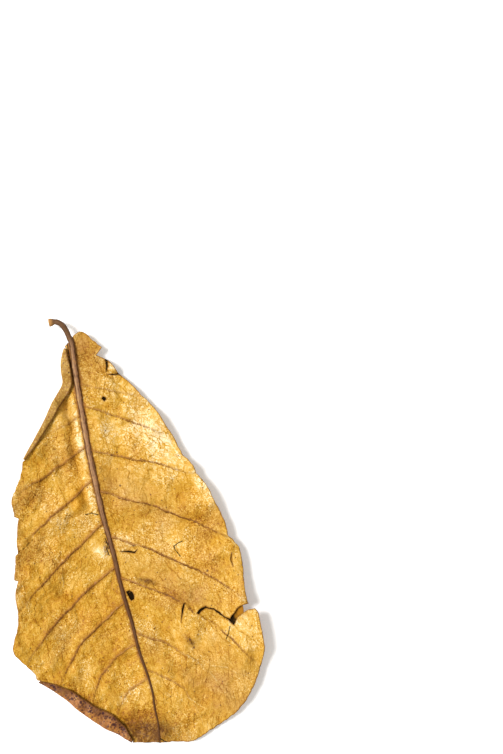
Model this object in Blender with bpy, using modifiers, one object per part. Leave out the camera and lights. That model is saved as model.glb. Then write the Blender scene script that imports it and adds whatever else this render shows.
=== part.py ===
"""A dried indian almond leaf that lies on its upper face, so that its ribbed lower face looks up.

The blade is one sheet, a grid whose rows follow the side veins from the midrib out to the margins. Its left
margin is folded over in two places. Solidify gives the sheet its thickness, with more of it along the midrib
and the side veins. Booleans then join the stalk and cut the tear, the cracks and the holes.

Plan points are in millimetres: X across the leaf, Y along it, the blade's base near 0 and its tip near -222.
"""

import bisect
import math

import bmesh
import bpy
from mathutils import Vector
from mathutils.geometry import interpolate_bezier

MM = 0.001
CORNER = "corner"
RIGHT = 1
LEFT = -1
MERGE_DISTANCE = 0.00001
CURVE_SAMPLES = 9
SLOPE_STEP = 0.004
SAME_SHARE = 1e-9
LEAST_LENGTH = 1e-6

# Driving dimensions, in millimetres
BLADE_THICKNESS = 0.6
MIDRIB_WIDTH = 3.4
MIDRIB_TIP_WIDTH = 1.2
MIDRIB_RISE = 2.0
MIDRIB_TIP_RISE = 0.5
VEIN_RISE = 0.8
VEIN_HALF_WIDTH = 1.2
VEIN_END_SHARE = 0.95
VEIN_FADE_SHARE = 0.6
STALK_THICKNESS = 3.4
STALK_END_THICKNESS = 4.2
STALK_LIFT = 0.6
FOLD_RADIUS = 1.1

# Heights of the sheet's lower side, in millimetres
BELLY = 1.0
KEEL = 1.3
KEEL_WIDTH = 8.0
CUP_REACH = 60.0
CUP_POWER = 2.3
QUILT = 0.7
QUILT_SPREAD = 0.7
WAVE = 1.3
WAVE_LENGTH = 85.0
WAVE_SHIFT = 1.4
REST_CENTRE = (2.9, -121.0)
REST_RADIUS = 8.0
REST_BLEND = 30.0
REST_GAP = 0.04
FEET = ((-16.0, -104.0), (22.0, -106.0), (8.0, -151.0))
FOOT_RADIUS = 16.0

# Along the leaf, by Y: how high the spine lies, and how high each side's cup is at CUP_REACH from the midrib
SPINE = ((15, 5.2), (0, 4.0), (-40, 1.8), (-80, 0.6), (-118, 0.2), (-160, 0.4), (-200, 1.2), (-225, 2.2))
CUPS = {
    RIGHT: ((5, 12), (-40, 10.5), (-90, 7.5), (-140, 6), (-185, 7), (-210, 7.5), (-225, 5)),
    LEFT: ((5, 9), (-60, 8), (-110, 6.5), (-155, 6), (-190, 5), (-225, 4)),
}

# Grid of the sheet. A ridge step is a share of the midrib's half width, with the share of its rise left there
ROW_GAP = 5.2
ROW_GAP_LEAST = 0.8
RIDGE_STEPS = ((0.55, 0.75), (1.0, 0.0))
RIDGE_SHARE_MOST = 0.45
BLADE_STEPS = (0.09, 0.2, 0.32, 0.44, 0.56, 0.68, 0.79, 0.9, 1.0)
FOLD_STEPS = (0.25, 0.5, 0.75, 1.0)

STALK_LINE = (
    (-1.6, -16), (-0.7, -9), (-0.2, -1), (-0.9, 3.2), (-1.7, 7), (-3.2, 10.2), (-6.0, 12.3), (-9.6, 12.6),
)
STALK_RINGS = 15
STALK_ROOT = 0.3
STALK_ROOT_SHARE = 0.5
STALK_SWELL_START = 0.8
STALK_SWELL_SHARE = 0.12
MIDRIB_LINE = (
    (-0.2, 1.2), (-1.3, -12.4), (-2.2, -27), (-3.1, -45), (-3.7, -61), (-3.7, -79), (-3.7, -95),
    (-3.0, -109), (-2.4, -121), (-2.3, -132), (-1.5, -144), (-0.3, -157), (0.4, -172), (2.0, -184),
    (2.7, -194), (2.1, -203), (2.2, -211), (1.0, -221.6),
)
RIGHT_MARGIN = (
    (1.4, 3.0), (5.5, 4.6), (8.4, 2.6), (10.4, -0.4), (15.3, -6.2, CORNER), (11.4, -9.6, CORNER),
    (16.6, -13.4), (20.0, -18.0, CORNER), (20.6, -21.6, CORNER), (24.9, -26.7), (30.4, -35),
    (37.5, -46.5), (42.2, -59.3), (46.2, -72.4), (49.7, -77.2), (51.2, -83.2), (54.9, -89.7, CORNER),
    (57.3, -98), (60.5, -112), (60.6, -119.4, CORNER), (64.5, -125.4), (65.4, -132), (64.0, -145.5),
    (63.4, -156.6, CORNER), (66.4, -160.4, CORNER), (67.9, -163.4), (67.7, -181.8, CORNER),
    (63.5, -191.2), (56.4, -202.7), (47.1, -212.6), (38.1, -217.2), (30.5, -220.4), (23.6, -223.1),
    (17.0, -224.4), (8.0, -222.6), (1.0, -221.6),
)
LEFT_MARGIN = (
    (-2.9, -0.4), (-4.4, -1.8), (-6.8, -5.8), (-8.4, -10), (-9.2, -15), (-9.9, -20.6), (-13.2, -25),
    (-17.8, -30.2), (-23.2, -37.6), (-29.6, -45.4), (-39.0, -56.3, CORNER), (-43.1, -66.2),
    (-48.4, -74.2), (-50.1, -79), (-50.3, -85.7, CORNER), (-48.6, -87.4, CORNER), (-51.4, -98),
    (-52.6, -105.6, CORNER), (-53.9, -106.4, CORNER), (-57.0, -119, CORNER), (-55.4, -120.2, CORNER),
    (-58.0, -127), (-58.4, -134.8, CORNER), (-60.6, -144), (-64.4, -152), (-65.6, -156.8),
    (-62.2, -163.6), (-58.2, -169.8), (-56.0, -175.9, CORNER), (-50.0, -181.4), (-43.8, -188.2),
    (-34.4, -199.6), (-26.4, -207.8), (-19.8, -213.4), (-13.9, -218.7, CORNER), (-7.8, -219.8),
    (1.0, -221.6),
)

# A row of the grid: its Y on the midrib, its end on the margin, its bow towards the base, its vein's strength
RIGHT_ROWS = (
    (1.2, (1.4, 3.0), 0, 0), (-4, (10.4, -0.4), 0, 0), (-8, (15.3, -6.2), 0, 0), (-11.5, (11.4, -9.6), 0, 0),
    (-16, (20.0, -18.0), 0, 0), (-23, (31.2, -36.2), 0.5, 0.5), (-34, (43.6, -63), 0.5, 0.6),
    (-58.5, (51.2, -83.2), 0, 0.8), (-81.6, (62.0, -122), 2, 1), (-107, (63.5, -155.5), 3.5, 1),
    (-130, (62.4, -193), 6.6, 1), (-161, (46.6, -213), 7.4, 0.9), (-181.4, (26, -222.3), 7, 0.6),
    (-202, (12, -223.5), 3, 0), (-221.6, (1.0, -221.6), 0, 0),
)
LEFT_ROWS = (
    (1.2, (-2.9, -0.4), 0, 0), (-10, (-8.4, -10), 0, 0), (-21, (-9.9, -20.6), 0, 0), (-29, (-19, -32), 0, 0),
    (-39, (-32, -48), 0, 0.4), (-56, (-49.4, -76.5), 0, 0.8), (-74.7, (-52.2, -103), 0, 0.9),
    (-98.6, (-58.6, -136.5), 1, 1), (-123.7, (-61, -165), 3, 1), (-143.6, (-47.4, -184.3), 5, 0.9),
    (-166.7, (-33.4, -200.8), 7, 0.8), (-186, (-22.6, -211), 5, 0.6), (-204, (-12, -219), 2, 0),
    (-221.6, (1.0, -221.6), 0, 0),
)

# The folded-over margins: points along each silhouette, with how much of the sheet lies past the crease there
UPPER_FOLD = (
    ((-4.4, -1.8), 3.6), ((-6.8, -5.8), 5.8), ((-8.4, -10), 7.5), ((-9.2, -15), 8.0), ((-9.9, -20.6), 7.8),
    ((-17.8, -30.2), 7.2), ((-23.2, -37.6), 6.2), ((-29.6, -45.4), 5.4), ((-39.0, -56.3), 3.7),
)
LOWER_FOLD = (
    ((-56.0, -175.9), 3.7), ((-50.0, -181.4), 6.2), ((-43.8, -188.2), 8.4), ((-34.4, -199.6), 9.8),
    ((-26.4, -207.8), 11.2), ((-19.8, -213.4), 8.4), ((-13.9, -218.7), 3.7),
)

# What is cut through the blade: the tear from the right margin, two holes and three cracks
TEAR = (
    (35.4, -156.6), (40.9, -154.2), (45.8, -157.4), (49.9, -161.0), (52.2, -163.8), (55.7, -160.6),
    (59.2, -157.7), (75.0, -155.6), (75.0, -160.4), (62.5, -160.6), (59.7, -161.8), (56.2, -163.9),
    (53.6, -167.6), (51.3, -165.2), (48.8, -162.4), (45.2, -159.2), (40.7, -155.9), (36.1, -157.8),
)
HOLES = (
    ((-0.1, -138.4), (1.6, -138.1), (3.2, -139.3), (3.7, -141.4), (3.3, -143.2), (1.6, -143.8),
     (1.0, -142.4)),
    ((9.2, -33.2), (10.2, -32.1), (11.5, -33.0), (11.3, -34.3), (10.3, -34.8)),
)
CRACKS = (
    ((1.2, -116.4), (6.0, -117.0), (8.8, -118.2), (10.6, -117.4), (8.9, -119.0), (5.8, -117.9)),
    ((29.9, -150.8), (28.9, -153.6), (25.9, -160.6), (27.9, -153.4), (29.1, -150.9)),
    ((60.7, -128.8), (59.9, -132.4), (59.9, -136.6), (59.1, -132.2)),
)
CUT_DEPTH = 60.0

LEAF_COLOUR = (0.50, 0.27, 0.065, 1.0)
LEAF_ROUGHNESS = 0.55


class Path:
    """A line through plan points, smooth except at its corners, read by its share of length."""

    def __init__(self, knots):
        places = [Vector(knot[:2]) for knot in knots]
        breaks = [index for index, knot in enumerate(knots) if len(knot) > 2]
        self.points = [places[0]]
        for index in range(len(places) - 1):
            self.points += self.segment(places, breaks, index)[1:]
        self.reach = [0.0]
        for start, end in zip(self.points, self.points[1:]):
            self.reach.append(self.reach[-1] + (end - start).length)
        self.length = self.reach[-1]
        self.corners = [self.share_near(places[index]) for index in breaks]

    @staticmethod
    def segment(places, breaks, index):
        """The curve from one knot to the next, straight into a corner and out of it."""
        start, end = places[index], places[index + 1]
        before = places[index - 1] if index > 0 and index not in breaks else start
        last = index + 2 >= len(places) or index + 1 in breaks
        after = end if last else places[index + 2]
        handle = (end - start).length / 3
        first = start + (end - before).normalized() * handle
        second = end - (after - start).normalized() * handle
        return interpolate_bezier(start, first, second, end, CURVE_SAMPLES)

    def at(self, share):
        """The point at a share of the length."""
        wanted = min(max(share, 0.0), 1.0) * self.length
        index = min(max(bisect.bisect_right(self.reach, wanted), 1), len(self.points) - 1)
        start, end = self.reach[index - 1], self.reach[index]
        return self.points[index - 1].lerp(self.points[index], (wanted - start) / (end - start))

    def outward(self, share, side):
        """The unit vector square to the line, away from the midrib, which is at +X or -X of it."""
        along = self.at(share + SLOPE_STEP) - self.at(share - SLOPE_STEP)
        return Vector((-along.y, along.x)).normalized() * side

    def share_near(self, place):
        """The share of the length at the point nearest to a place."""
        index = min(range(len(self.points)), key=lambda number: (self.points[number] - Vector(place)).length)
        return self.reach[index] / self.length

    def share_at_y(self, y):
        """The share of the length at which a line that runs towards -Y passes y."""
        table = [(point.y, reach) for point, reach in zip(self.points, self.reach)]
        return between(table, y) / self.length


def smooth(value):
    """A smooth step from 0 to 1."""
    value = min(max(value, 0.0), 1.0)
    return value * value * (3 - 2 * value)


def between(table, x, ease=False):
    """The value at x in a table of (x, value) pairs that run one way."""
    pairs = sorted(table)
    if x <= pairs[0][0]:
        return pairs[0][1]
    for (low, first), (high, second) in zip(pairs, pairs[1:]):
        if x <= high:
            share = (x - low) / (high - low)
            return first + (second - first) * (smooth(share) if ease else share)
    return pairs[-1][1]


class Leaf:
    """The lines of the leaf in plan, and the heights over it."""

    def __init__(self):
        self.midrib = Path(MIDRIB_LINE)
        self.margins = {RIGHT: Path(RIGHT_MARGIN), LEFT: Path(LEFT_MARGIN)}
        self.guides = {RIGHT: self.read_guides(RIGHT, RIGHT_ROWS), LEFT: self.read_guides(LEFT, LEFT_ROWS)}
        left = self.margins[LEFT]
        self.folds = [
            [(left.share_near(place), width) for place, width in fold] for fold in (UPPER_FOLD, LOWER_FOLD)
        ]
        self.spine_x = [(point.y, point.x) for point in self.midrib.points]

    def read_guides(self, side, rows):
        """Each row as shares: where it starts on the midrib and ends on the margin, its bow and its vein."""
        margin = self.margins[side]
        return [(self.midrib.share_at_y(y), margin.share_near(end), bow, vein) for y, end, bow, vein in rows]

    def row_shares(self):
        """Where the rows start on the midrib: on each guide, at each vein's feet, and in the gaps between."""
        crests = sorted({guide[0] for side in (RIGHT, LEFT) for guide in self.guides[side]})
        foot = VEIN_HALF_WIDTH / self.midrib.length
        least = ROW_GAP_LEAST / self.midrib.length
        shares = list(crests)
        for side in (RIGHT, LEFT):
            for start, _, _, vein in self.guides[side]:
                for share in (start - foot, start + foot):
                    clear = all(abs(share - other) > least for other in shares)
                    if vein and clear:
                        shares.append(share)
        shares.sort()
        filled = [shares[0]]
        for share in shares[1:]:
            parts = math.ceil((share - filled[-1]) * self.midrib.length / ROW_GAP)
            start = filled[-1]
            filled += [start + (share - start) * part / parts for part in range(1, parts + 1)]
        return filled

    def row_ends(self, side, shares):
        """Where the rows end along a margin. The nearest free row to each corner is moved onto it."""
        ends = [between([(guide[0], guide[1]) for guide in self.guides[side]], share) for share in shares]
        last = 0
        for corner in self.margins[side].corners:
            last = min(range(last + 1, len(ends) - 1), key=lambda row: abs(ends[row] - corner))
            ends[last] = corner
        return ends

    def vein_gap(self, side, share):
        """How far a row lies from the veins on either side of it: 0 on a vein, 1 halfway between two."""
        starts = [guide[0] for guide in self.guides[side] if guide[3]]
        starts = [0.0] + starts + [1.0]
        low = max(start for start in starts if start <= share + SAME_SHARE)
        high = min([start for start in starts if start > share + SAME_SHARE] or [1.0])
        return math.sin(math.pi * (share - low) / max(high - low, LEAST_LENGTH)) ** 2

    def height(self, place):
        """The height of the sheet's lower side over a plan point, without the quilting between the veins."""
        across = place.x - between(self.spine_x, place.y)
        side = RIGHT if across > 0 else LEFT
        reach = abs(across) / CUP_REACH
        cup = between(CUPS[side], place.y, ease=True) * reach ** CUP_POWER
        keel = KEEL * math.exp(-(across / KEEL_WIDTH) ** 2)
        wave = WAVE * reach ** 2 * math.sin(math.tau * place.y / WAVE_LENGTH + WAVE_SHIFT * side)
        return REST_GAP + self.rest(place) * (BELLY + between(SPINE, place.y, ease=True) + cup + keel + wave)

    def rest(self, place):
        """0 on the flat spot under the leaf's weight and at the three feet round it, and 1 away from them."""
        share = smooth(((place - Vector(REST_CENTRE)).length - REST_RADIUS) / REST_BLEND)
        for foot in FEET:
            share *= smooth((place - Vector(foot)).length / FOOT_RADIUS)
        return share

    def fold_length(self, share):
        """How much of the sheet lies past the crease, at a share of the left margin."""
        for fold in self.folds:
            if fold[0][0] <= share <= fold[-1][0]:
                return between(fold, share)
        return 0.0


class Row:
    """One row of the sheet on one side: a bowed line from the midrib to the margin."""

    def __init__(self, leaf, side, start_share, end_share):
        self.leaf = leaf
        self.side = side
        self.share = start_share
        self.end_share = end_share
        self.start = leaf.midrib.at(start_share)
        self.end = leaf.margins[side].at(end_share)
        self.outward = leaf.margins[side].outward(end_share, side)
        self.folded = leaf.fold_length(end_share) if side == LEFT else 0.0
        if self.folded:
            self.end -= self.outward * FOLD_RADIUS
        guides = leaf.guides[side]
        bow = between([(guide[0], guide[2]) for guide in guides], start_share)
        chord = self.end - self.start
        self.length = max(chord.length, LEAST_LENGTH)
        lift = Vector((-chord.y, chord.x)) * side / self.length
        self.middle = (self.start + self.end) / 2 + lift * bow * 2
        veins = [guide[3] for guide in guides if abs(guide[0] - start_share) < SAME_SHARE]
        self.vein = veins[0] if veins else 0.0
        self.quilt = leaf.vein_gap(side, start_share) * QUILT
        self.rib = MIDRIB_TIP_WIDTH + (MIDRIB_WIDTH - MIDRIB_TIP_WIDTH) * (1 - start_share)
        self.rise = MIDRIB_TIP_RISE + (MIDRIB_RISE - MIDRIB_TIP_RISE) * (1 - start_share)

    def at(self, share):
        """The plan point at a share of the way from the midrib to the margin."""
        return self.start * (1 - share) ** 2 + self.middle * 2 * share * (1 - share) + self.end * share ** 2

    def blade_points(self):
        """Points from the foot of the midrib's ridge to the margin, each with the sheet's thickness there."""
        half = min(self.rib / 2, self.length * RIDGE_SHARE_MOST)
        points = []
        for step, part in RIDGE_STEPS:
            points.append(self.sheet_point(step * half / self.length, self.rise * part))
        foot = half / self.length
        for step in BLADE_STEPS:
            share = foot + (1 - foot) * step
            vein = VEIN_RISE * self.vein * smooth((VEIN_END_SHARE - share) / VEIN_FADE_SHARE)
            points.append(self.sheet_point(share, vein))
        return points

    def sheet_point(self, share, rise):
        """A point of the sheet's lower side and its thickness."""
        place = self.at(share)
        dip = self.quilt * math.sin(math.pi * min(share, 1.0)) ** QUILT_SPREAD * self.leaf.rest(place)
        return (place.x, place.y, self.leaf.height(place) - dip), BLADE_THICKNESS + rise

    def fold_points(self):
        """Points past the crease, round the bend and back over the blade. Without one, all on the margin."""
        bend = math.pi * FOLD_RADIUS
        travels = [bend * step for step in FOLD_STEPS] + [self.folded]
        points = []
        for travel in travels if self.folded else [0.0] * len(travels):
            angle = min(travel / FOLD_RADIUS, math.pi)
            back = max(travel - bend, 0.0)
            place = self.end + self.outward * (FOLD_RADIUS * math.sin(angle) - back)
            lift = FOLD_RADIUS * (1 - math.cos(angle))
            points.append(((place.x, place.y, self.leaf.height(place) + lift), BLADE_THICKNESS))
        return points


def sheet_rows(leaf):
    """The rows of the grid from the left margin to the right one, and whether each is folded over."""
    shares = leaf.row_shares()
    ends = {side: leaf.row_ends(side, shares) for side in (RIGHT, LEFT)}
    rows = []
    folded = []
    for number, share in enumerate(shares):
        left = Row(leaf, LEFT, share, ends[LEFT][number])
        right = Row(leaf, RIGHT, share, ends[RIGHT][number])
        crest = right.sheet_point(0, right.rise)
        rows.append((left.blade_points() + left.fold_points())[::-1] + [crest] + right.blade_points())
        folded.append(left.folded > 0)
    return rows, folded


def make_blade(leaf, collection):
    """The blade with its folds, its midrib and its side veins, as a thickened sheet."""
    rows, folded = sheet_rows(leaf)
    columns = len(rows[0]) - 1
    fold_columns = len(FOLD_STEPS) + 1
    thickest = BLADE_THICKNESS + MIDRIB_RISE
    sheet = bmesh.new()
    bmesh.ops.create_grid(sheet, x_segments=columns, y_segments=len(rows) - 1, size=1)
    weights = sheet.verts.layers.deform.verify()
    unused = []
    for face in sheet.faces:
        middle = face.calc_center_median()
        column = int((middle.x + 1) / 2 * columns)
        row = int((1 - middle.y) / 2 * (len(rows) - 1))
        if column < fold_columns and not (folded[row] and folded[row + 1]):
            unused.append(face)
    for vertex in sheet.verts:
        column = round((vertex.co.x + 1) / 2 * columns)
        row = round((1 - vertex.co.y) / 2 * (len(rows) - 1))
        place, thickness = rows[row][column]
        vertex.co = Vector(place) * MM
        vertex[weights][0] = thickness / thickest
    for foot in FEET:
        lowest = min(sheet.verts, key=lambda vertex: (vertex.co.xy - Vector(foot) * MM).length)
        lowest.co.z = 0.0
    bmesh.ops.delete(sheet, geom=unused, context="FACES")
    bmesh.ops.remove_doubles(sheet, verts=sheet.verts, dist=MERGE_DISTANCE)
    bmesh.ops.triangulate(sheet, faces=sheet.faces, quad_method="SHORT_EDGE")
    mesh = bpy.data.meshes.new("leaf")
    sheet.to_mesh(mesh)
    sheet.free()
    blade = bpy.data.objects.new("leaf", mesh)
    blade.vertex_groups.new(name="thickness")
    collection.objects.link(blade)
    solidify = blade.modifiers.new("Thickness", "SOLIDIFY")
    solidify.thickness = thickest * MM
    solidify.offset = 1
    solidify.vertex_group = "thickness"
    return blade


def curve_to_mesh(curve_object, collection):
    """A mesh object in the curve's place, with its caps welded on."""
    evaluated = curve_object.evaluated_get(bpy.context.evaluated_depsgraph_get())
    mesh = bpy.data.meshes.new_from_object(evaluated)
    welded = bmesh.new()
    welded.from_mesh(mesh)
    bmesh.ops.remove_doubles(welded, verts=welded.verts, dist=MERGE_DISTANCE)
    bmesh.ops.recalc_face_normals(welded, faces=welded.faces)
    welded.to_mesh(mesh)
    welded.free()
    name = curve_object.name
    placed = bpy.data.objects.new(name, mesh)
    placed.matrix_world = curve_object.matrix_world.copy()
    collection.objects.link(placed)
    bpy.data.objects.remove(curve_object)
    placed.name = name
    placed.hide_render = True
    placed.display_type = "WIRE"
    return placed


def make_stalk(leaf, collection):
    """The stalk, a tapered tube that starts inside the midrib's ridge and hooks to the left at its end."""
    line = Path(STALK_LINE)
    curve = bpy.data.curves.new("stalk", "CURVE")
    curve.dimensions = "3D"
    curve.bevel_depth = STALK_THICKNESS / 2 * MM
    curve.bevel_resolution = 3
    curve.use_fill_caps = True
    curve.render_resolution_u = 0
    spline = curve.splines.new("POLY")
    spline.points.add(STALK_RINGS - 1)
    for number, point in enumerate(spline.points):
        share = number / (STALK_RINGS - 1)
        place = line.at(share)
        end_swell = smooth((share - STALK_SWELL_START) / STALK_SWELL_SHARE)
        swell = end_swell * (STALK_END_THICKNESS / STALK_THICKNESS - 1)
        root = STALK_ROOT + (1 - STALK_ROOT) * smooth(share / STALK_ROOT_SHARE)
        height = leaf.height(place) + BLADE_THICKNESS + STALK_LIFT
        point.co = (place.x * MM, place.y * MM, height * MM, 1.0)
        point.radius = root + swell
    stalk = bpy.data.objects.new("stalk", curve)
    collection.objects.link(stalk)
    bpy.context.view_layer.update()
    return curve_to_mesh(stalk, collection)


def make_cutter(name, outline, collection):
    """An upright prism of a plan outline that passes right through the blade."""
    curve = bpy.data.curves.new(name, "CURVE")
    curve.dimensions = "2D"
    curve.fill_mode = "BOTH"
    curve.extrude = CUT_DEPTH / 2 * MM
    curve.render_resolution_u = 0
    spline = curve.splines.new("POLY")
    spline.points.add(len(outline) - 1)
    spline.use_cyclic_u = True
    for point, place in zip(spline.points, outline):
        point.co = (place[0] * MM, place[1] * MM, 0.0, 1.0)
    cutter = bpy.data.objects.new(name, curve)
    collection.objects.link(cutter)
    bpy.context.view_layer.update()
    return curve_to_mesh(cutter, collection)


def make_material():
    """Dry ochre leaf."""
    material = bpy.data.materials.new("dry_leaf")
    material.use_nodes = True
    shader = material.node_tree.nodes["Principled BSDF"]
    shader.inputs["Base Color"].default_value = LEAF_COLOUR
    shader.inputs["Roughness"].default_value = LEAF_ROUGHNESS
    shader.inputs["Metallic"].default_value = 0.0
    return material


def add_boolean(target, name, operation, collection):
    """A Boolean of the target with a whole collection."""
    boolean = target.modifiers.new(name, "BOOLEAN")
    boolean.operation = operation
    boolean.operand_type = "COLLECTION"
    boolean.collection = collection
    boolean.solver = "EXACT"


def centre_on_origin(blade, movers):
    """Hang everything on an empty, placed so that the leaf's bounding box is centred over the origin."""
    bpy.context.view_layer.update()
    evaluated = blade.evaluated_get(bpy.context.evaluated_depsgraph_get())
    corners = [blade.matrix_world @ Vector(corner) for corner in evaluated.bound_box]
    origin = bpy.data.objects.new("leaf_origin", None)
    bpy.context.scene.collection.objects.link(origin)
    for mover in movers:
        mover.parent = origin
    middle = [(min(corner[axis] for corner in corners) + max(corner[axis] for corner in corners)) / 2
              for axis in (0, 1)]
    origin.location = (-middle[0], -middle[1], 0.0)
    bpy.context.view_layer.update()


def main():
    for item in list(bpy.data.objects):
        bpy.data.objects.remove(item)
    parts = bpy.data.collections.new("indian_almond_leaf")
    joins = bpy.data.collections.new("joins")
    cutters = bpy.data.collections.new("cutters")
    for collection in (parts, joins, cutters):
        bpy.context.scene.collection.children.link(collection)

    leaf = Leaf()
    blade = make_blade(leaf, parts)
    blade.data.materials.append(make_material())
    stalk = make_stalk(leaf, joins)
    cuts = [make_cutter("tear", TEAR, cutters)]
    cuts += [make_cutter(f"hole_{number}", hole, cutters) for number, hole in enumerate(HOLES, 1)]
    cuts += [make_cutter(f"crack_{number}", crack, cutters) for number, crack in enumerate(CRACKS, 1)]
    add_boolean(blade, "Stalk", "UNION", joins)
    add_boolean(blade, "Cuts", "DIFFERENCE", cutters)
    blade.data.shade_smooth()
    centre_on_origin(blade, [blade, stalk] + cuts)


main()
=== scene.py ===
"""A dried indian almond leaf with its ribbed lower face up: its fine blade, veins and stalk, and a stage.

Plan points are in millimetres: X across the leaf, Y along it, the blade's base near 0 and its tip near -222.
Heights are in millimetres over the surface that the leaf lies on.
"""

import math

import bmesh
import bpy
import numpy as np
from bpy.props import FloatProperty, FloatVectorProperty, PointerProperty
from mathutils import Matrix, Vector, noise
from mathutils.geometry import interpolate_bezier


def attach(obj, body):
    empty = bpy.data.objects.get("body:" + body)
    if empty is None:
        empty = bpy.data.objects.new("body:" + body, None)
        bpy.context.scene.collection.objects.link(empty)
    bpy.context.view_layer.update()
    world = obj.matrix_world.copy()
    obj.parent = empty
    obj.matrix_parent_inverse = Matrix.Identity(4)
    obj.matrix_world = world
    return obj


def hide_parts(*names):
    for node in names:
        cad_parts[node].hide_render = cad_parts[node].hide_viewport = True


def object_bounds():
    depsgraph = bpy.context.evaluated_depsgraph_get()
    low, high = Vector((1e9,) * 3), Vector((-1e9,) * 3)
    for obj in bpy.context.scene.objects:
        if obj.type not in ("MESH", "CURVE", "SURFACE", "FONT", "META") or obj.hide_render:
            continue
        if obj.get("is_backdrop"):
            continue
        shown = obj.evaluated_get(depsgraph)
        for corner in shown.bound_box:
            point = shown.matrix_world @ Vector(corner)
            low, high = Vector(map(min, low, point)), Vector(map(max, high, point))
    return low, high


bl_info = {
    "name": "Indian Almond Leaf",
    "version": (1, 0, 0),
    "blender": (4, 5, 0),
    "location": "3D View > Sidebar > Leaf",
    "description": "Makes a dried indian almond leaf with its veins and stalk, and a pale stage for it",
    "category": "Add Mesh",
}

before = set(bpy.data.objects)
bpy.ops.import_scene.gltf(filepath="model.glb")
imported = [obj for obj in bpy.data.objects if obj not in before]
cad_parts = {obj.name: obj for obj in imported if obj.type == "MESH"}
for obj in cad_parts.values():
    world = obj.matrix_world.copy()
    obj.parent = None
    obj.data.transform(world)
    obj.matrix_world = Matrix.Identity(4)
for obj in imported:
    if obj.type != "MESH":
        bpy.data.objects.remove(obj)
CAD_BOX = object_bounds()

MM = 0.001
CORNER = "corner"
RIGHT = 1
LEFT = -1

# Where the plan's zero point lies in the frame, in millimetres
PLAN_ORIGIN = (-1.48, 104.80)

# Heights of the sheet's lower side, as in the solid
BELLY = 1.0
KEEL = 1.3
KEEL_WIDTH = 8.0
CUP_REACH = 60.0
CUP_POWER = 2.3
QUILT = 0.7
QUILT_SPREAD = 0.7
WAVE = 1.3
WAVE_LENGTH = 85.0
WAVE_SHIFT = 1.4
REST_CENTRE = (2.9, -121.0)
REST_RADIUS = 8.0
REST_BLEND = 30.0
REST_GAP = 0.04
FEET = ((-16.0, -104.0), (22.0, -106.0), (8.0, -151.0))
FOOT_RADIUS = 16.0
FOLD_RADIUS = 1.1
TOP_CLEAR = 11.6
TOP_BLEND = 3.0
SOFT_FLOOR = 0.5
SPINE = ((15, 5.2), (0, 4.0), (-40, 1.8), (-80, 0.6), (-118, 0.2), (-160, 0.4), (-200, 1.2), (-225, 2.2))
CUPS = {
    RIGHT: ((5, 12), (-40, 10.5), (-90, 7.5), (-140, 6), (-185, 7), (-210, 7.5), (-225, 5)),
    LEFT: ((5, 9), (-60, 8), (-110, 6.5), (-155, 6), (-190, 5), (-225, 4)),
}

# Grid of the sheet
ROW_GAP = 0.95
ROW_GAP_LEAST = 0.2
VEIN_ROWS = (0.4, 0.85)
BLADE_COLUMNS = 72
FOLD_COLUMNS = 12
CURVE_SAMPLES = 9
SLOPE_STEP = 0.004
MERGE_DISTANCE = 0.00001

# The midrib and the stalk: their grid, taper, wobble and seat in the blade, and the swell at the cut end
RIB_TAPER = 0.86
RIB_TAPER_POWER = 1.1
RIB_START_SHARE = 0.74
RIB_FULL_AT = 0.32
RIB_AROUND = 24
RIB_RINGS = 300
RIB_RISE_TAPER = 0.75
RIB_WOBBLE = 0.16
RIB_WOBBLE_LENGTH = 7
RIB_FINE_WOBBLE = 0.7
RIB_FINE_WOBBLE_LENGTH = 1.9
RIB_BELOW = 0.6
RIB_SINK = 0.8
RIB_LEAST_HEIGHT = 0.02
RIB_SHARP_ANGLE = 50
STALK_PAST_BASE = 9
STALK_BLEND = 16
STALK_LIFT = 0.5
SWELL = 0.45
SWELL_REACH = 3.4
SWELL_BLEND = 2.4

# The relief over the sheet: bumps, sharp ridges, the furrow left of the midrib, the tooth and the veins' ends
RELIEF_BY_MIDRIB = 0.3
RELIEF_REACH = 11
BUMP_SIZE = 20
SMALL_BUMP_SIZE = 8
SMALL_BUMP_SHARE = 0.45
RIDGE_SIZE = 30
RIDGE_LEVEL = 0.7
PLEAT_START = -22
PLEAT_START_BLEND = 12
PLEAT_END = -104
PLEAT_END_BLEND = 22
PLEAT_SWAY = 1.6
PLEAT_SWAY_LENGTH = 16
PLEAT_CHANGE = 0.5
PLEAT_CHANGE_LENGTH = 11
FURROW_AT = 7.4
FURROW_WIDTH = 2.3
BANK_AT = 12.5
BANK_WIDTH = 3.2
BANK_SHARE = 0.7
TOOTH_START = 35.5
TOOTH_BLEND = 9
VEIN_END_REACH = 30
VEIN_END_WIDTH = 0.5
VEIN_END_RISE = 0.2

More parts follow.
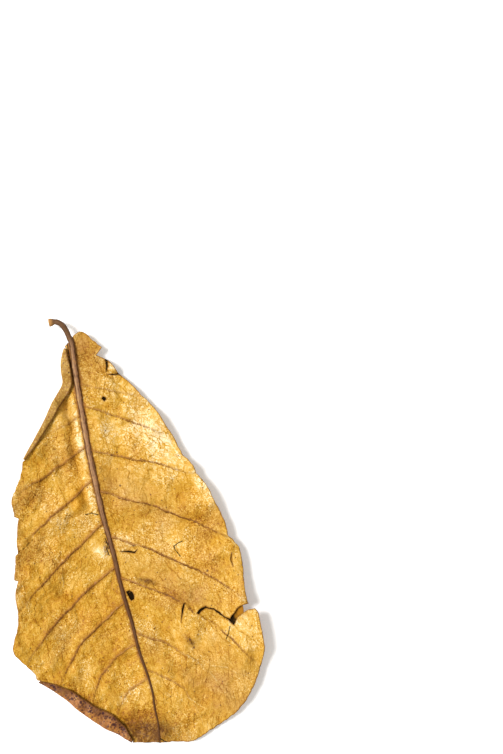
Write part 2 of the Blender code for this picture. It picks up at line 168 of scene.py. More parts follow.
STALK_LINE = ((-9.8, 12.6), (-6.0, 12.3), (-3.2, 10.2), (-1.7, 7), (-0.9, 3.2), (-0.2, -1), (-0.7, -6))
MIDRIB_LENGTH = 223.0
MIDRIB_LINE = (
    (-0.2, 1.2), (-1.3, -12.4), (-2.2, -27), (-3.1, -45), (-3.7, -61), (-3.7, -79), (-3.7, -95),
    (-3.0, -109), (-2.4, -121), (-2.3, -132), (-1.5, -144), (-0.3, -157), (0.4, -172), (2.0, -184),
    (2.7, -194), (2.1, -203), (2.2, -211), (1.0, -221.6),
)
RIGHT_MARGIN = (
    (1.4, 3.0), (5.5, 4.6), (8.4, 2.6), (10.4, -0.4), (15.3, -6.2, CORNER), (11.4, -9.6, CORNER),
    (16.6, -13.4), (20.0, -18.0, CORNER), (20.6, -21.6, CORNER), (24.9, -26.7), (30.4, -35),
    (37.5, -46.5), (42.2, -59.3), (46.2, -72.4), (49.7, -77.2), (51.2, -83.2), (54.9, -89.7, CORNER),
    (57.3, -98), (60.5, -112), (60.6, -119.4, CORNER), (64.5, -125.4), (65.4, -132), (64.0, -145.5),
    (63.4, -156.6, CORNER), (66.4, -160.4, CORNER), (67.9, -163.4), (67.7, -181.8, CORNER),
    (63.5, -191.2), (56.4, -202.7), (47.1, -212.6), (38.1, -217.2), (30.5, -220.4), (23.6, -223.1),
    (17.0, -224.4), (8.0, -222.6), (1.0, -221.6),
)
LEFT_MARGIN = (
    (-2.9, -0.4), (-4.4, -1.8), (-6.8, -5.8), (-8.4, -10), (-9.2, -15), (-9.9, -20.6), (-13.2, -25),
    (-17.8, -30.2), (-23.2, -37.6), (-29.6, -45.4), (-39.0, -56.3, CORNER), (-43.1, -66.2),
    (-48.4, -74.2), (-50.1, -79), (-50.3, -85.7, CORNER), (-48.6, -87.4, CORNER), (-51.4, -98),
    (-52.6, -105.6, CORNER), (-53.9, -106.4, CORNER), (-57.0, -119, CORNER), (-55.4, -120.2, CORNER),
    (-58.0, -127), (-58.4, -134.8, CORNER), (-60.6, -144), (-64.4, -152), (-65.6, -156.8),
    (-62.2, -163.6), (-58.2, -169.8), (-56.0, -175.9, CORNER), (-50.0, -181.4), (-43.8, -188.2),
    (-34.4, -199.6), (-26.4, -207.8), (-19.8, -213.4), (-13.9, -218.7, CORNER), (-7.8, -219.8),
    (1.0, -221.6),
)

# A side vein, or a plain row where its strength is 0: its Y on the midrib, its end on the margin,
# its bow towards the base and its strength
VEINS = {
    RIGHT: (
        (1.2, (1.4, 3.0), 0, 0), (-4, (10.4, -0.4), 0, 0), (-8, (15.3, -6.2), 0, 0),
        (-11.5, (11.4, -9.6), 0, 0), (-16, (20.0, -18.0), 0, 0), (-23, (31.2, -36.2), 0.5, 0.5),
        (-34, (43.6, -63), 0.5, 0.6), (-58.5, (51.2, -83.2), 0, 0.8), (-81.6, (62.0, -122), 2, 1),
        (-107, (63.5, -155.5), 3.5, 1), (-130, (62.4, -193), 6.6, 1), (-161, (46.6, -213), 7.4, 0.9),
        (-181.4, (26, -222.3), 7, 0.6), (-202, (12, -223.5), 3, 0), (-221.6, (1.0, -221.6), 0, 0),
    ),
    LEFT: (
        (1.2, (-2.9, -0.4), 0, 0), (-10, (-8.4, -10), 0, 0), (-21, (-9.9, -20.6), 0, 0),
        (-29, (-19, -32), 0, 0), (-39, (-32, -48), 0, 0.4), (-56, (-49.4, -76.5), 0, 0.8),
        (-74.7, (-52.2, -103), 0, 0.9), (-98.6, (-58.6, -136.5), 1, 1), (-123.7, (-61, -165), 3, 1),
        (-143.6, (-47.4, -184.3), 5, 0.9), (-166.7, (-33.4, -200.8), 7, 0.8),
        (-186, (-22.6, -211), 5, 0.6), (-204, (-12, -219), 2, 0), (-221.6, (1.0, -221.6), 0, 0),
    ),
}

# The folded-over margins: points along each silhouette, with how much of the sheet lies past the crease there
UPPER_FOLD = (
    ((-4.4, -1.8), 3.6), ((-6.8, -5.8), 5.8), ((-8.4, -10), 7.5), ((-9.2, -15), 8.0), ((-9.9, -20.6), 7.8),
    ((-17.8, -30.2), 7.2), ((-23.2, -37.6), 6.2), ((-29.6, -45.4), 5.4), ((-39.0, -56.3), 3.7),
)
LOWER_FOLD = (
    ((-56.0, -175.9), 3.7), ((-50.0, -181.4), 6.2), ((-43.8, -188.2), 8.4), ((-34.4, -199.6), 9.8),
    ((-26.4, -207.8), 11.2), ((-19.8, -213.4), 8.4), ((-13.9, -218.7), 3.7),
)

# What is cut through the blade: the tear from the right margin, two holes and three cracks
TEAR = (
    (35.2, -157.3), (37.2, -155.6), (40.6, -154.7), (41.8, -155.7), (44.8, -156.9), (45.9, -158.0),
    (47.6, -159.5), (49.4, -161.7), (51.2, -163.2), (52.3, -163.8), (53.6, -162.2), (55.4, -160.9),
    (57.2, -158.8), (59.2, -157.7), (75.0, -155.6), (75.0, -160.4), (62.5, -160.6), (59.7, -161.8),
    (56.2, -163.9), (53.6, -167.6), (52.2, -165.8), (51.0, -163.9), (48.9, -162.2), (47.1, -160.3),
    (45.6, -159.2), (44.7, -157.4), (41.5, -156.2), (40.5, -155.8), (37.7, -156.9), (36.2, -158.2),
)
HOLES = (
    ((-0.1, -138.4), (1.6, -138.1), (3.2, -139.3), (3.7, -141.4), (3.3, -143.2), (1.6, -143.8),
     (1.0, -142.4)),
    ((9.2, -33.2), (10.2, -32.1), (11.5, -33.0), (11.3, -34.3), (10.3, -34.8)),
)
CRACKS = (
    ((1.2, -116.4), (6.0, -117.0), (8.8, -118.2), (10.6, -117.4), (8.9, -119.0), (5.8, -117.9)),
    ((29.9, -150.8), (28.9, -153.6), (25.9, -160.6), (27.9, -153.4), (29.1, -150.9)),
    ((60.7, -128.8), (59.9, -132.4), (59.9, -136.6), (59.1, -132.2)),
)
SLITS = (
    ((15.6, -12.4), (17.2, -12.8), (16.5, -17.0), (14.3, -20.0), (15.4, -16.8)),
    ((14.9, -21.1), (18.0, -21.3), (22.8, -21.7), (22.8, -22.6), (18.0, -22.1)),
)
CUTS = (TEAR,) + HOLES + CRACKS + SLITS
CUT_REACH = 1.6

# The curled bit between the two slits: where it starts to rise, and how far it runs
CURL_START = 14.8
CURL_REACH = 5.0
CURL_LOW = -22.0
CURL_HIGH = -12.6
CURL_EDGE = 1.6

# Soft patches of colour: centre, half length, half width, turn in degrees from +X, strength. The pale and
# shade patches hold paler and browner parts of the leaf, and also painted highlight and painted shade where
# the blade faces towards or away from the key light.
PALE_AND_LIT_PATCHES = (
    # The broad pale shoulder at the right, its palest streak and the pale right margin: a paler part of the
    # leaf with a painted highlight where the cupped blade rises towards the key light.
    ((34, -62), 26, 10, -60, 0.9), ((37, -80), 8, 3, -62, 0.5), ((52, -88), 13, 4, -68, 0.8),
    # The parts between the first side veins at the right.
    ((11, -51), 13, 7, -30, 0.7), ((21, -31), 9, 5, -45, 0.6),
    # The pale strip along the left side of the midrib, a painted highlight on the slope that faces the key
    # light, and the patches beside it.
    ((-7.2, -52), 24, 1.8, 88, 0.9), ((-8.0, -82), 14, 1.7, 92, 0.8), ((-11, -113), 6, 4, -50, 0.8),
    ((-15, -40), 6, 3, 45, 0.5), ((-26, -70), 7, 3, 70, 0.5),
    # Beside the two cracks, the lobe below the tear, and the streaks above the tip.
    ((6, -110), 5, 3, -20, 0.4), ((32, -119), 4, 3, -60, 0.4), ((56, -172), 14, 8, -60, 0.35),
    ((-12, -194), 8, 3, 15, 0.4), ((10, -188), 7, 3, -20, 0.4),
    # The two small curled bits.
    ((18.6, -17.4), 3, 3, 0, 0.9), ((17.4, -104.4), 2.4, 1.4, -20, 0.7),
)
SHADE_PATCHES = (
    # The base, and the brown below the upper fold and along the left margin, with painted shade under the
    # fold and where the left side of the cup faces away from the key light.
    ((6, -8), 10, 7, -40, 0.4), ((-24, -42), 10, 4, 50, 0.4), ((-40, -78), 10, 6, 60, 0.5),
    ((-52, -112), 14, 6, 78, 0.4),
    # The brown area at the right, the streaks below it, and the vein above the tear.
    ((46, -108), 12, 7, -55, 0.7), ((45, -133), 10, 5, -40, 0.4), ((25, -145), 9, 4, -35, 0.5),
    # The tip, and the blade along the lower fold.
    ((-8, -207), 20, 8, 0, 0.7), ((12, -212), 10, 5, -15, 0.35), ((-36, -188), 14, 5, -45, 0.5),
)
# Deep golden patches. The strips beside the midrib follow its furrows, where the deeper gold is partly
# painted shade.
GOLD_PATCHES = (
    ((-14, -84), 8, 4, 66, 1.2), ((-12.5, -58), 18, 2.4, 88, 0.9), ((3, -82), 24, 3.5, 90, 0.5),
    ((-20, -150), 14, 9, 30, 0.5), ((20, -190), 20, 14, -30, 0.3), ((45, -130), 14, 8, -40, 0.6),
    ((-30, -138), 12, 7, 40, 0.4), ((47, -91), 10, 3, -60, 0.5), ((34, -73), 8, 2, -60, 0.4),
)
GREY_PATCHES = (
    ((-57, -112), 28, 5, 78, 0.9), ((4, -2), 22, 12, -70, 0.6), ((-30, -152), 6, 4, 0, 0.3),
    ((62, -150), 22, 3, 85, 0.4), ((0, -214), 14, 6, 0, 0.5), ((35, -150), 10, 4, -40, 0.4),
)
CALM_PATCHES = (
    ((12, -84), 22, 12, -40, 0.9), ((42, -196), 26, 20, -50, 0.9), ((24, -136), 24, 8, -35, 0.8),
    ((24, -96), 20, 8, -35, 0.7), ((-10, -40), 8, 20, 30, 0.5), ((8, -8), 12, 8, 0, 0.2),
)
DARK_PATCHES = (
    ((-4, -215.5), 14, 6.2, -11, 1.0), ((-12, -209.5), 8, 2.4, -10, 0.6),
    ((12.4, -135.4), 5, 1.5, -25, 0.9), ((28.5, -172), 4.5, 1.6, -60, 0.6),
    ((-6, -113), 4.5, 1.0, 84, 0.7), ((-7, -219.5), 8, 1.0, -4, 0.8),
)

# Fine marks: thin brown creases, black cracks that don't go through, and dark specks with their radius
CREASES = (
    ((53.5, -168.0), (58.5, -172.8), (65.6, -181.6)), ((36.0, -157.6), (41.5, -165.5), (47.0, -174.0)),
    ((47.0, -174.0), (53.5, -182.0)), ((14.0, -20.0), (11.4, -14.6), (9.6, -10.6)),
    ((14.0, -20.0), (11.6, -30.4)), ((14.4, -21.6), (17.6, -24.8), (23.4, -32.6)),
    ((16.4, -69.6), (21.6, -66.2), (29.0, -61.4)), ((27.6, -70.4), (32.6, -67.0), (37.0, -65.2)),
    ((26.2, -54.6), (31.2, -60.4), (36.4, -66.0)), ((12.0, -60.2), (20.4, -57.2)),
    ((38.0, -196.0), (42.2, -206.4)), ((24.0, -127.0), (30.0, -137.6)),
)
CRACK_LINES = (
    ((30.4, -119.6), (31.0, -121.8), (32.9, -125.6)), ((30.4, -119.6), (33.0, -118.4), (35.6, -117.8)),
    ((-12.6, -92.9), (-9.4, -92.6), (-5.9, -94.3)), ((1.5, -219.0), (3.0, -220.6), (5.0, -222.2)),
    ((51.4, -167.8), (49.8, -171.0), (47.9, -174.0)), ((-2.6, 1.0), (-2.7, -6.0), (-3.4, -13.0)),
    ((-13.6, -219.1), (-7.8, -220.0), (-2.6, -220.7), (1.0, -221.3)),
    ((-5.2, -107.8), (-4.6, -111.4), (-5.6, -113.6), (-4.8, -117.2)), ((-4.1, -110.5), (-3.9, -114.2)),
)
PALE_CREASES = (
    ((37.9, -187.0), (44.4, -188.9), (50.3, -193.8)), ((35.5, -189.7), (40.5, -200.9), (43.1, -206.0)),
    ((20.6, -201.2), (29.5, -209.1)), ((25.1, -178.3), (31.9, -185.2)), ((48.8, -175.0), (52.9, -181.5)),
    ((30.0, -46.0), (37.0, -56.0), (44.0, -72.0)), ((-36.0, -108.0), (-31.0, -117.0), (-33.0, -128.0)),
)
SPECKS = (
    ((8.0, -64.3), 0.8), ((11.0, -63.4), 0.7), ((8.8, -81.4), 0.8), ((9.0, -115.0), 0.7),
    ((45.5, -136.3), 0.8), ((0.3, -69.2), 0.5), ((3.0, -178.0), 0.6), ((-6.5, -10.2), 0.5),
    ((-4.8, -11.8), 0.5), ((-5.0, -16.0), 0.6), ((-5.0, -110.2), 0.7), ((-4.8, -113.4), 0.8),
    ((-5.6, -116.6), 0.6), ((28.6, -170.6), 0.9), ((29.6, -175.6), 0.8),
)

# The middle of the tear, from its inner end, round its notch and out at the margin
TEAR_MIDDLE = ((35.4, -157.2), (40.8, -155.0), (45.5, -158.3), (49.3, -161.7), (52.6, -166.0), (56.0, -162.2),
               (59.5, -159.7), (75.0, -158.0))
TEAR_LIFT_REACH = 9.0
# The dark backing sheet under the cuts is painted shadow: how far it reaches past them, where it ends towards
# the margin, how far it sits below the blade, its least height and its thickness.
BACKING_OVERLAP = 0.9
BACKING_END = 58.6
BACKING_DROP = 0.35
BACKING_LEAST = 0.02
BACKING_THICKNESS = 0.06
# Each table becomes a mesh layer of the same name; pale and shade carry painted highlight and painted shade
# as well as colour.
PATCHES = {"pale": PALE_AND_LIT_PATCHES, "shade": SHADE_PATCHES, "gold": GOLD_PATCHES, "grey": GREY_PATCHES,
           "calm": CALM_PATCHES, "dark": DARK_PATCHES}

# The photograph's frame in plan
PHOTO_CENTRE = (90.8, -38.8)
PHOTO_TURN = -12.1
FRAME_HEIGHT = 407.2
LENS = 85.0
SENSOR = 36.0
LOOK_HEIGHT = 5.0

# The floor's half width in metres, and the direction that the key light comes from
FLOOR_REACH = 30.0
KEY_FROM = (-0.49, 0.27, 0.83)


def smooth(value):
    """A smooth step from 0 to 1."""
    value = np.clip(value, 0.0, 1.0)
    return value * value * (3 - 2 * value)


def eased(table, x):
    """The value at x in a table of (x, value) pairs, with a smooth step from each pair to the next."""
    pairs = np.array(sorted(table), float)
    index = np.clip(np.searchsorted(pairs[:, 0], x) - 1, 0, len(pairs) - 2)
    low, high = pairs[index], pairs[index + 1]
    share = smooth((x - low[..., 0]) / (high[..., 0] - low[..., 0]))
    return low[..., 1] + (high[..., 1] - low[..., 1]) * share


class Path:
    """A line through plan points, smooth except at its corners, read by its share of length."""

    def __init__(self, knots):
        places = [Vector(knot[:2]) for knot in knots]
        breaks = [index for index, knot in enumerate(knots) if len(knot) > 2]
        points = [places[0]]
        for index in range(len(places) - 1):
            points += self.segment(places, breaks, index)[1:]
        self.points = np.array(points)
        steps = np.linalg.norm(np.diff(self.points, axis=0), axis=1)
        self.reach = np.concatenate(([0.0], np.cumsum(steps)))
        self.length = self.reach[-1]
        self.corners = [self.share_near(places[index]) for index in breaks]

    @staticmethod
    def segment(places, breaks, index):
        """The curve from one knot to the next, straight into a corner and out of it."""
        start, end = places[index], places[index + 1]
        before = places[index - 1] if index > 0 and index not in breaks else start
        last = index + 2 >= len(places) or index + 1 in breaks
        after = end if last else places[index + 2]
        handle = (end - start).length / 3
        first = start + (end - before).normalized() * handle
        second = end - (after - start).normalized() * handle
        return interpolate_bezier(start, first, second, end, CURVE_SAMPLES)

    def at(self, shares):
        """The points at these shares of the length."""
        wanted = np.clip(shares, 0.0, 1.0) * self.length
        return np.stack([np.interp(wanted, self.reach, self.points[:, axis]) for axis in (0, 1)], axis=-1)

    def outward(self, shares, side):
        """The unit vectors square to the line, away from the midrib."""
        along = self.at(shares + SLOPE_STEP) - self.at(shares - SLOPE_STEP)
        square = np.stack([-along[..., 1], along[..., 0]], axis=-1) * side
        return square / np.linalg.norm(square, axis=-1, keepdims=True)

    def share_near(self, place):
        """The share of the length at the point nearest to a place."""
        return self.reach[np.argmin(np.linalg.norm(self.points - np.array(place[:2]), axis=1))] / self.length

    def share_at_y(self, y):
        """The share of the length at which a line that runs towards -Y passes y."""
        return np.interp(-y, -self.points[:, 1], self.reach) / self.length


def line_distance(line, x, y):
    """How far places lie from a line through points."""
    nearest = np.full(np.shape(x), np.inf)
    for start, end in zip(line, line[1:]):
        run = (end[0] - start[0], end[1] - start[1])
        length = max(run[0] ** 2 + run[1] ** 2, 1e-9)
        share = np.clip(((x - start[0]) * run[0] + (y - start[1]) * run[1]) / length, 0, 1)
        gap = np.hypot(x - start[0] - share * run[0], y - start[1] - share * run[1])
        nearest = np.minimum(nearest, gap)
    return nearest


def patches(table, x, y):
    """How strongly a table's soft patches cover places, from 0 to 1."""
    cover = np.zeros(np.shape(x))
    for (middle_x, middle_y), half_length, half_width, turn, strength in table:
        along = math.cos(math.radians(turn)), math.sin(math.radians(turn))
        run = (x - middle_x) * along[0] + (y - middle_y) * along[1]
        across = (y - middle_y) * along[0] - (x - middle_x) * along[1]
        reach = (run / half_length) ** 2 + (across / half_width) ** 2
        cover = np.maximum(cover, strength * np.exp(-reach))
    return cover


def crumple(x, y, size, seed):
    """Uneven bumps from -1 to 1, about this many millimetres across."""
    flat_x, flat_y = np.ravel(x), np.ravel(y)
    bumps = [noise.fractal(Vector((a / size, b / size, seed)), 0.9, 2.1, 3) for a, b in zip(flat_x, flat_y)]
    return np.array(bumps).reshape(np.shape(x))


class LeafForm:
    """The lines of the leaf in plan, and the heights over it."""

    def __init__(self, sizes):
        self.sizes = sizes
        self.midrib = Path(MIDRIB_LINE)
        self.margins = {RIGHT: Path(RIGHT_MARGIN), LEFT: Path(LEFT_MARGIN)}
        self.guides = {side: self.read_guides(side) for side in (RIGHT, LEFT)}
        left = self.margins[LEFT]
        self.folds = [
            [(left.share_near(place), width) for place, width in fold] for fold in (UPPER_FOLD, LOWER_FOLD)
        ]

    def read_guides(self, side):
        """Each row as shares: where it starts on the midrib and ends on the margin, its bow and its vein."""
        margin = self.margins[side]
        return np.array([
            (self.midrib.share_at_y(y), margin.share_near(end), bow, vein)
            for y, end, bow, vein in VEINS[side]
        ])

    def row_shares(self):
        """Where the rows start along the midrib: on each guide, beside each vein, and in the gaps between."""
        shares = sorted({guide[0] for side in (RIGHT, LEFT) for guide in self.guides[side]})
        least = ROW_GAP_LEAST / self.midrib.length
        for side in (RIGHT, LEFT):
            for start, _, _, vein in self.guides[side]:
                for gap in VEIN_ROWS:
                    for share in (start - gap / self.midrib.length, start + gap / self.midrib.length):
                        clear = all(abs(share - other) > least for other in shares)
                        if vein and clear:
                            shares.append(share)
        shares.sort()
        filled = [shares[0]]
        for share in shares[1:]:
            parts = math.ceil((share - filled[-1]) * self.midrib.length / ROW_GAP)
            start = filled[-1]
            filled += [start + (share - start) * part / parts for part in range(1, parts + 1)]
        return np.array(filled)

    def row_ends(self, side, shares):
        """Where the rows end along a margin. The nearest free row to each corner is moved onto it."""
        guides = self.guides[side]
        ends = np.interp(shares, guides[:, 0], guides[:, 1])
        last = 0
        for corner in self.margins[side].corners:
            last += 1 + int(np.argmin(np.abs(ends[last + 1:-1] - corner)))
            ends[last] = corner
        return ends

    def vein_gap(self, side, shares):
        """How far rows lie from the veins on either side of them: 0 on a vein, 1 halfway between two."""
        guides = self.guides[side]
        starts = np.concatenate(([0.0], guides[guides[:, 3] > 0, 0], [1.0]))
        index = np.clip(np.searchsorted(starts, shares + 1e-9) - 1, 0, len(starts) - 2)
        low, high = starts[index], starts[index + 1]
        return np.sin(math.pi * (shares - low) / (high - low)) ** 2

    def fold_length(self, shares):
        """How much of the sheet lies past the crease, at shares of the left margin."""
        width = np.zeros(len(shares))
        for fold in self.folds:
            table = np.array(fold)
            inside = (shares >= table[0, 0]) & (shares <= table[-1, 0])
            width = np.where(inside, np.interp(shares, table[:, 0], table[:, 1]), width)
        return width

    def rest(self, x, y):
        """0 on the flat spot under the leaf's weight and at the three feet round it, and 1 away from them."""
        share = smooth((np.hypot(x - REST_CENTRE[0], y - REST_CENTRE[1]) - REST_RADIUS) / REST_BLEND)
        for foot_x, foot_y in FEET:
            share = share * smooth(np.hypot(x - foot_x, y - foot_y) / FOOT_RADIUS)
        return share

    def left_of_midrib(self, x, y):
        """How far places lie to the left of the midrib's line."""
        return np.interp(-y, -self.midrib.points[:, 1], self.midrib.points[:, 0]) - x

    def height(self, x, y, added=0.0):
        """The height of the sheet's lower side, with what is added to it away from where it rests."""
        across = -self.left_of_midrib(x, y)
        side = np.where(across > 0, RIGHT, LEFT)
        reach = np.abs(across) / CUP_REACH
        cup = np.where(side == RIGHT, eased(CUPS[RIGHT], y), eased(CUPS[LEFT], y)) * reach ** CUP_POWER
        keel = KEEL * np.exp(-(across / KEEL_WIDTH) ** 2)
        wave = WAVE * reach ** 2 * np.sin(math.tau * y / WAVE_LENGTH + WAVE_SHIFT * side)
        plain = BELLY + eased(SPINE, y) + cup + keel + wave
        raised = plain + added * smooth((TOP_CLEAR - plain) / TOP_BLEND)
        return REST_GAP + self.rest(x, y) * (raised + np.hypot(raised, SOFT_FLOOR)) / 2

    def relief(self, x, y):
        """The dried leaf's unevenness: crumples, creases, the furrow by the midrib and the raised tooth."""
        away = smooth(np.abs(self.left_of_midrib(x, y)) / RELIEF_REACH)
        calm = RELIEF_BY_MIDRIB + (1 - RELIEF_BY_MIDRIB) * away
        bumps = crumple(x, y, BUMP_SIZE, 3.0) + SMALL_BUMP_SHARE * crumple(x, y, SMALL_BUMP_SIZE, 8.0)
        ridges = RIDGE_LEVEL - 2 * np.abs(crumple(x, y, RIDGE_SIZE, 13.0))
        raised = self.sizes.tooth_lift * self.tooth(x, y) + self.sizes.curl * self.curl(x, y)
        return calm * (self.sizes.crumple * bumps + self.sizes.creasing * ridges) + self.pleat(x, y) + raised

    def pleat(self, x, y):
        """The long furrow beside the midrib on its left, and the bank past it."""
        reach = self.left_of_midrib(x, y) + PLEAT_SWAY * crumple(x * 0, y, PLEAT_SWAY_LENGTH, 5.0)
        change = 1 + PLEAT_CHANGE * crumple(x * 0, y, PLEAT_CHANGE_LENGTH, 6.0)
        along = smooth((y - PLEAT_END) / PLEAT_END_BLEND) * smooth((PLEAT_START - y) / PLEAT_START_BLEND)
        furrow = np.exp(-((reach - FURROW_AT) / FURROW_WIDTH) ** 2)
        bank = np.exp(-((reach - BANK_AT) / BANK_WIDTH) ** 2)
        return self.sizes.pleat * (along * change) * (BANK_SHARE * bank - furrow)

    @staticmethod
    def tooth(x, y):
        """1 at the point of the blade that stands over the tear, falling to 0 away from it."""
        middle = np.array(TEAR_MIDDLE)
        over = y > np.interp(x, middle[:, 0], middle[:, 1])
        near = np.exp(-(line_distance(TEAR_MIDDLE, x, y) / TEAR_LIFT_REACH) ** 2)
        return over * near * smooth((x - TOOTH_START) / TOOTH_BLEND)

    @staticmethod
    def curl(x, y):
        """How far up the curled bit between the two slits is, from 0 at its root to 1 at its free end."""
        between_slits = smooth((y - CURL_LOW) / CURL_EDGE) * smooth((CURL_HIGH - y) / CURL_EDGE)
        return between_slits * smooth((x - CURL_START) / CURL_REACH)


class BladeGrid:
    """The fine blade as rows and columns: places, heights, thickness and what the finish reads."""

    def __init__(self, form):
        self.form = form
        self.sizes = form.sizes
        self.shares = form.row_shares()
        self.left_end = self.margin_ends(LEFT)
        left = self.half(LEFT, *self.left_end)
        right = self.half(RIGHT, *self.margin_ends(RIGHT))
        past = self.fold(left, *self.left_end)
        self.fields = {name: np.concatenate((past[name][:, ::-1], left[name][:, :0:-1], right[name]), axis=1)
                       for name in right}

    def margin_ends(self, side):
        """Where each row ends, its direction out of the leaf, and how much of the sheet is folded over."""
        form = self.form
        shares = form.row_ends(side, self.shares)
        place = form.margins[side].at(shares)
        outward = form.margins[side].outward(shares, side)
        folded = form.fold_length(shares) if side == LEFT else np.zeros(len(shares))
        ragged = crumple(shares * form.margins[side].length, np.full(len(shares), 5.0 * side), 3.0, 1.0)
        shift = np.where(folded > 0, -FOLD_RADIUS, self.sizes.ragged * np.minimum(ragged, 0.3))
        return place + outward * shift[:, None], outward, folded

    def half(self, side, end, outward, folded):
        """One side's fields from the midrib to the margin."""
        form, shares = self.form, self.shares
        guides = form.guides[side]
        start = form.midrib.at(shares)
        chord = end - start
        length = np.maximum(np.linalg.norm(chord, axis=1), 1e-6)[:, None]
        bow = np.interp(shares, guides[:, 0], guides[:, 2])
        lift = np.stack([-chord[:, 1], chord[:, 0]], axis=1) * side / length
        middle = (start + end) / 2 + lift * (bow * 2)[:, None]
        across = np.linspace(0, 1, BLADE_COLUMNS + 1)[None, :]
        t = across[..., None]
        places = start[:, None] * (1 - t) ** 2 + middle[:, None] * 2 * t * (1 - t) + end[:, None] * t ** 2
        x, y = places[..., 0], places[..., 1]
        hump = np.sin(math.pi * across)
        free = self.sizes.vein_sway * np.sqrt(hump) * smooth(length / 20)
        x, y = x + free * crumple(x, y, 13, 21.0), y + free * crumple(x, y, 13, 34.0)
        vein, below, strength = self.vein_distance(side, x, y)
        return {
            "x": x, "y": y, "dip": form.vein_gap(side, shares)[:, None] * hump ** QUILT_SPREAD * QUILT,
            "vein": vein, "below": below, "strength": strength, "run": length * across,
            "edge": length * (1 - across), "lift": np.zeros(x.shape),
            "row": np.broadcast_to(shares[:, None] * form.midrib.length, x.shape),
        }

    def vein_distance(self, side, x, y):
        """How far each place lies from the nearest side vein, on which side of it, and how strong it is."""
        nearest = np.full(x.shape, 50.0)
        below = np.zeros(x.shape)
        strength = np.zeros(x.shape)
        for guide in self.form.guides[side]:
            if guide[3] == 0:
                continue
            row = int(np.argmin(np.abs(self.shares - guide[0])))
            line = list(zip(x[row, ::3], y[row, ::3])) + [(x[row, -1], y[row, -1])]
            gap = line_distance(line, x, y)
            gap[row] = 0.0
            closer = gap < nearest
            nearest = np.where(closer, gap, nearest)
            strength = np.where(closer, guide[3], strength)
            below = np.where(closer, np.sign(np.arange(len(x)) - row)[:, None], below)
        return nearest, below, strength

    def fold(self, left, end, outward, folded):
        """The fields past the left crease, round the bend and back over the blade."""
        folded = folded[:, None]
        bend = math.pi * FOLD_RADIUS
        arc_columns = FOLD_COLUMNS // 2
        arc = np.linspace(0, 1, arc_columns + 1)[None, 1:] * bend
        flat = bend + np.linspace(0, 1, FOLD_COLUMNS - arc_columns + 1)[None, 1:] * (folded - bend)
        travel = np.concatenate((np.broadcast_to(arc, (len(folded), arc_columns)), flat), axis=1)
        travel = np.where(folded > 0, travel, 0.0)
        angle = np.minimum(travel / FOLD_RADIUS, math.pi)
        step = FOLD_RADIUS * np.sin(angle) - np.maximum(travel - bend, 0.0)
        places = end[:, None] + outward[:, None] * step[..., None]
        far = np.full(travel.shape, 50.0)
        none = np.zeros(travel.shape)
        return {
            "x": places[..., 0], "y": places[..., 1], "dip": none,
            "vein": far, "below": none, "strength": none, "run": far,
            "edge": np.maximum(folded - travel, 0.0), "lift": FOLD_RADIUS * (1 - np.cos(angle)),
            "row": np.broadcast_to(left["row"][:, :1], travel.shape),
        }

    def heights(self):
        """The height of the sheet's lower side, folds included."""
        x, y = self.fields["x"], self.fields["y"]
        return self.form.height(x, y, self.form.relief(x, y) - self.fields["dip"]) + self.fields["lift"]


def plan_to_frame(x, y, z):
    """A plan place and height as a vector in the frame, in metres."""
    return Vector(((x + PLAN_ORIGIN[0]) * MM, (y + PLAN_ORIGIN[1]) * MM, z * MM))


def inside(outline, x, y):
    """Whether a place lies inside an outline."""
    odd = False
    for start, end in zip(outline, outline[1:] + outline[:1]):
        if (start[1] > y) != (end[1] > y):
            crossing = start[0] + (y - start[1]) / (end[1] - start[1]) * (end[0] - start[0])
            odd ^= x < crossing
    return odd


def cut_through(sheet, outline, edge_layer):
    """Cut an outline through the sheet along upright planes, and take out what lies inside."""
    corners = [plan_to_frame(x, y, 0) for x, y in outline]
    reach = CUT_REACH * MM
    low = Vector((min(c.x for c in corners) - reach, min(c.y for c in corners) - reach))
    high = Vector((max(c.x for c in corners) + reach, max(c.y for c in corners) + reach))

    def near_faces():
        for face in sheet.faces:
            middle = face.calc_center_median()
            if low.x < middle.x < high.x and low.y < middle.y < high.y:
                yield face, middle

    for start, end in zip(corners, corners[1:] + corners[:1]):
        run = end - start
        square = Vector((run.y, -run.x, 0)).normalized()
        faces = []
        for face, middle in near_faces():
            share = (middle - start).xy.dot(run.xy) / run.xy.length_squared
            margin = reach / run.xy.length
            if -margin < share < 1 + margin and abs((middle - start).dot(square)) < reach:
                faces.append(face)
        edges = {edge for face in faces for edge in face.edges}
        verts = {vert for face in faces for vert in face.verts}
        bmesh.ops.bisect_plane(sheet, geom=faces + list(edges) + list(verts), plane_co=start, plane_no=square)
    flat = [(corner.x, corner.y) for corner in corners]
    removed = [face for face, middle in near_faces() if inside(flat, middle.x, middle.y)]
    bmesh.ops.delete(sheet, geom=removed, context="FACES")
    line = flat + flat[:1]
    for vert in sheet.verts:
        if low.x < vert.co.x < high.x and low.y < vert.co.y < high.y:
            gap = float(line_distance(line, vert.co.x, vert.co.y)) / MM
            vert[edge_layer] = min(vert[edge_layer], gap)


def finished_object(name, shape):
    """A scene object with the mesh of a bmesh, at the origin."""
    mesh = bpy.data.meshes.new(name)
    shape.to_mesh(mesh)
    shape.free()
    piece = bpy.data.objects.new(name, mesh)
    bpy.context.scene.collection.objects.link(piece)
    return piece


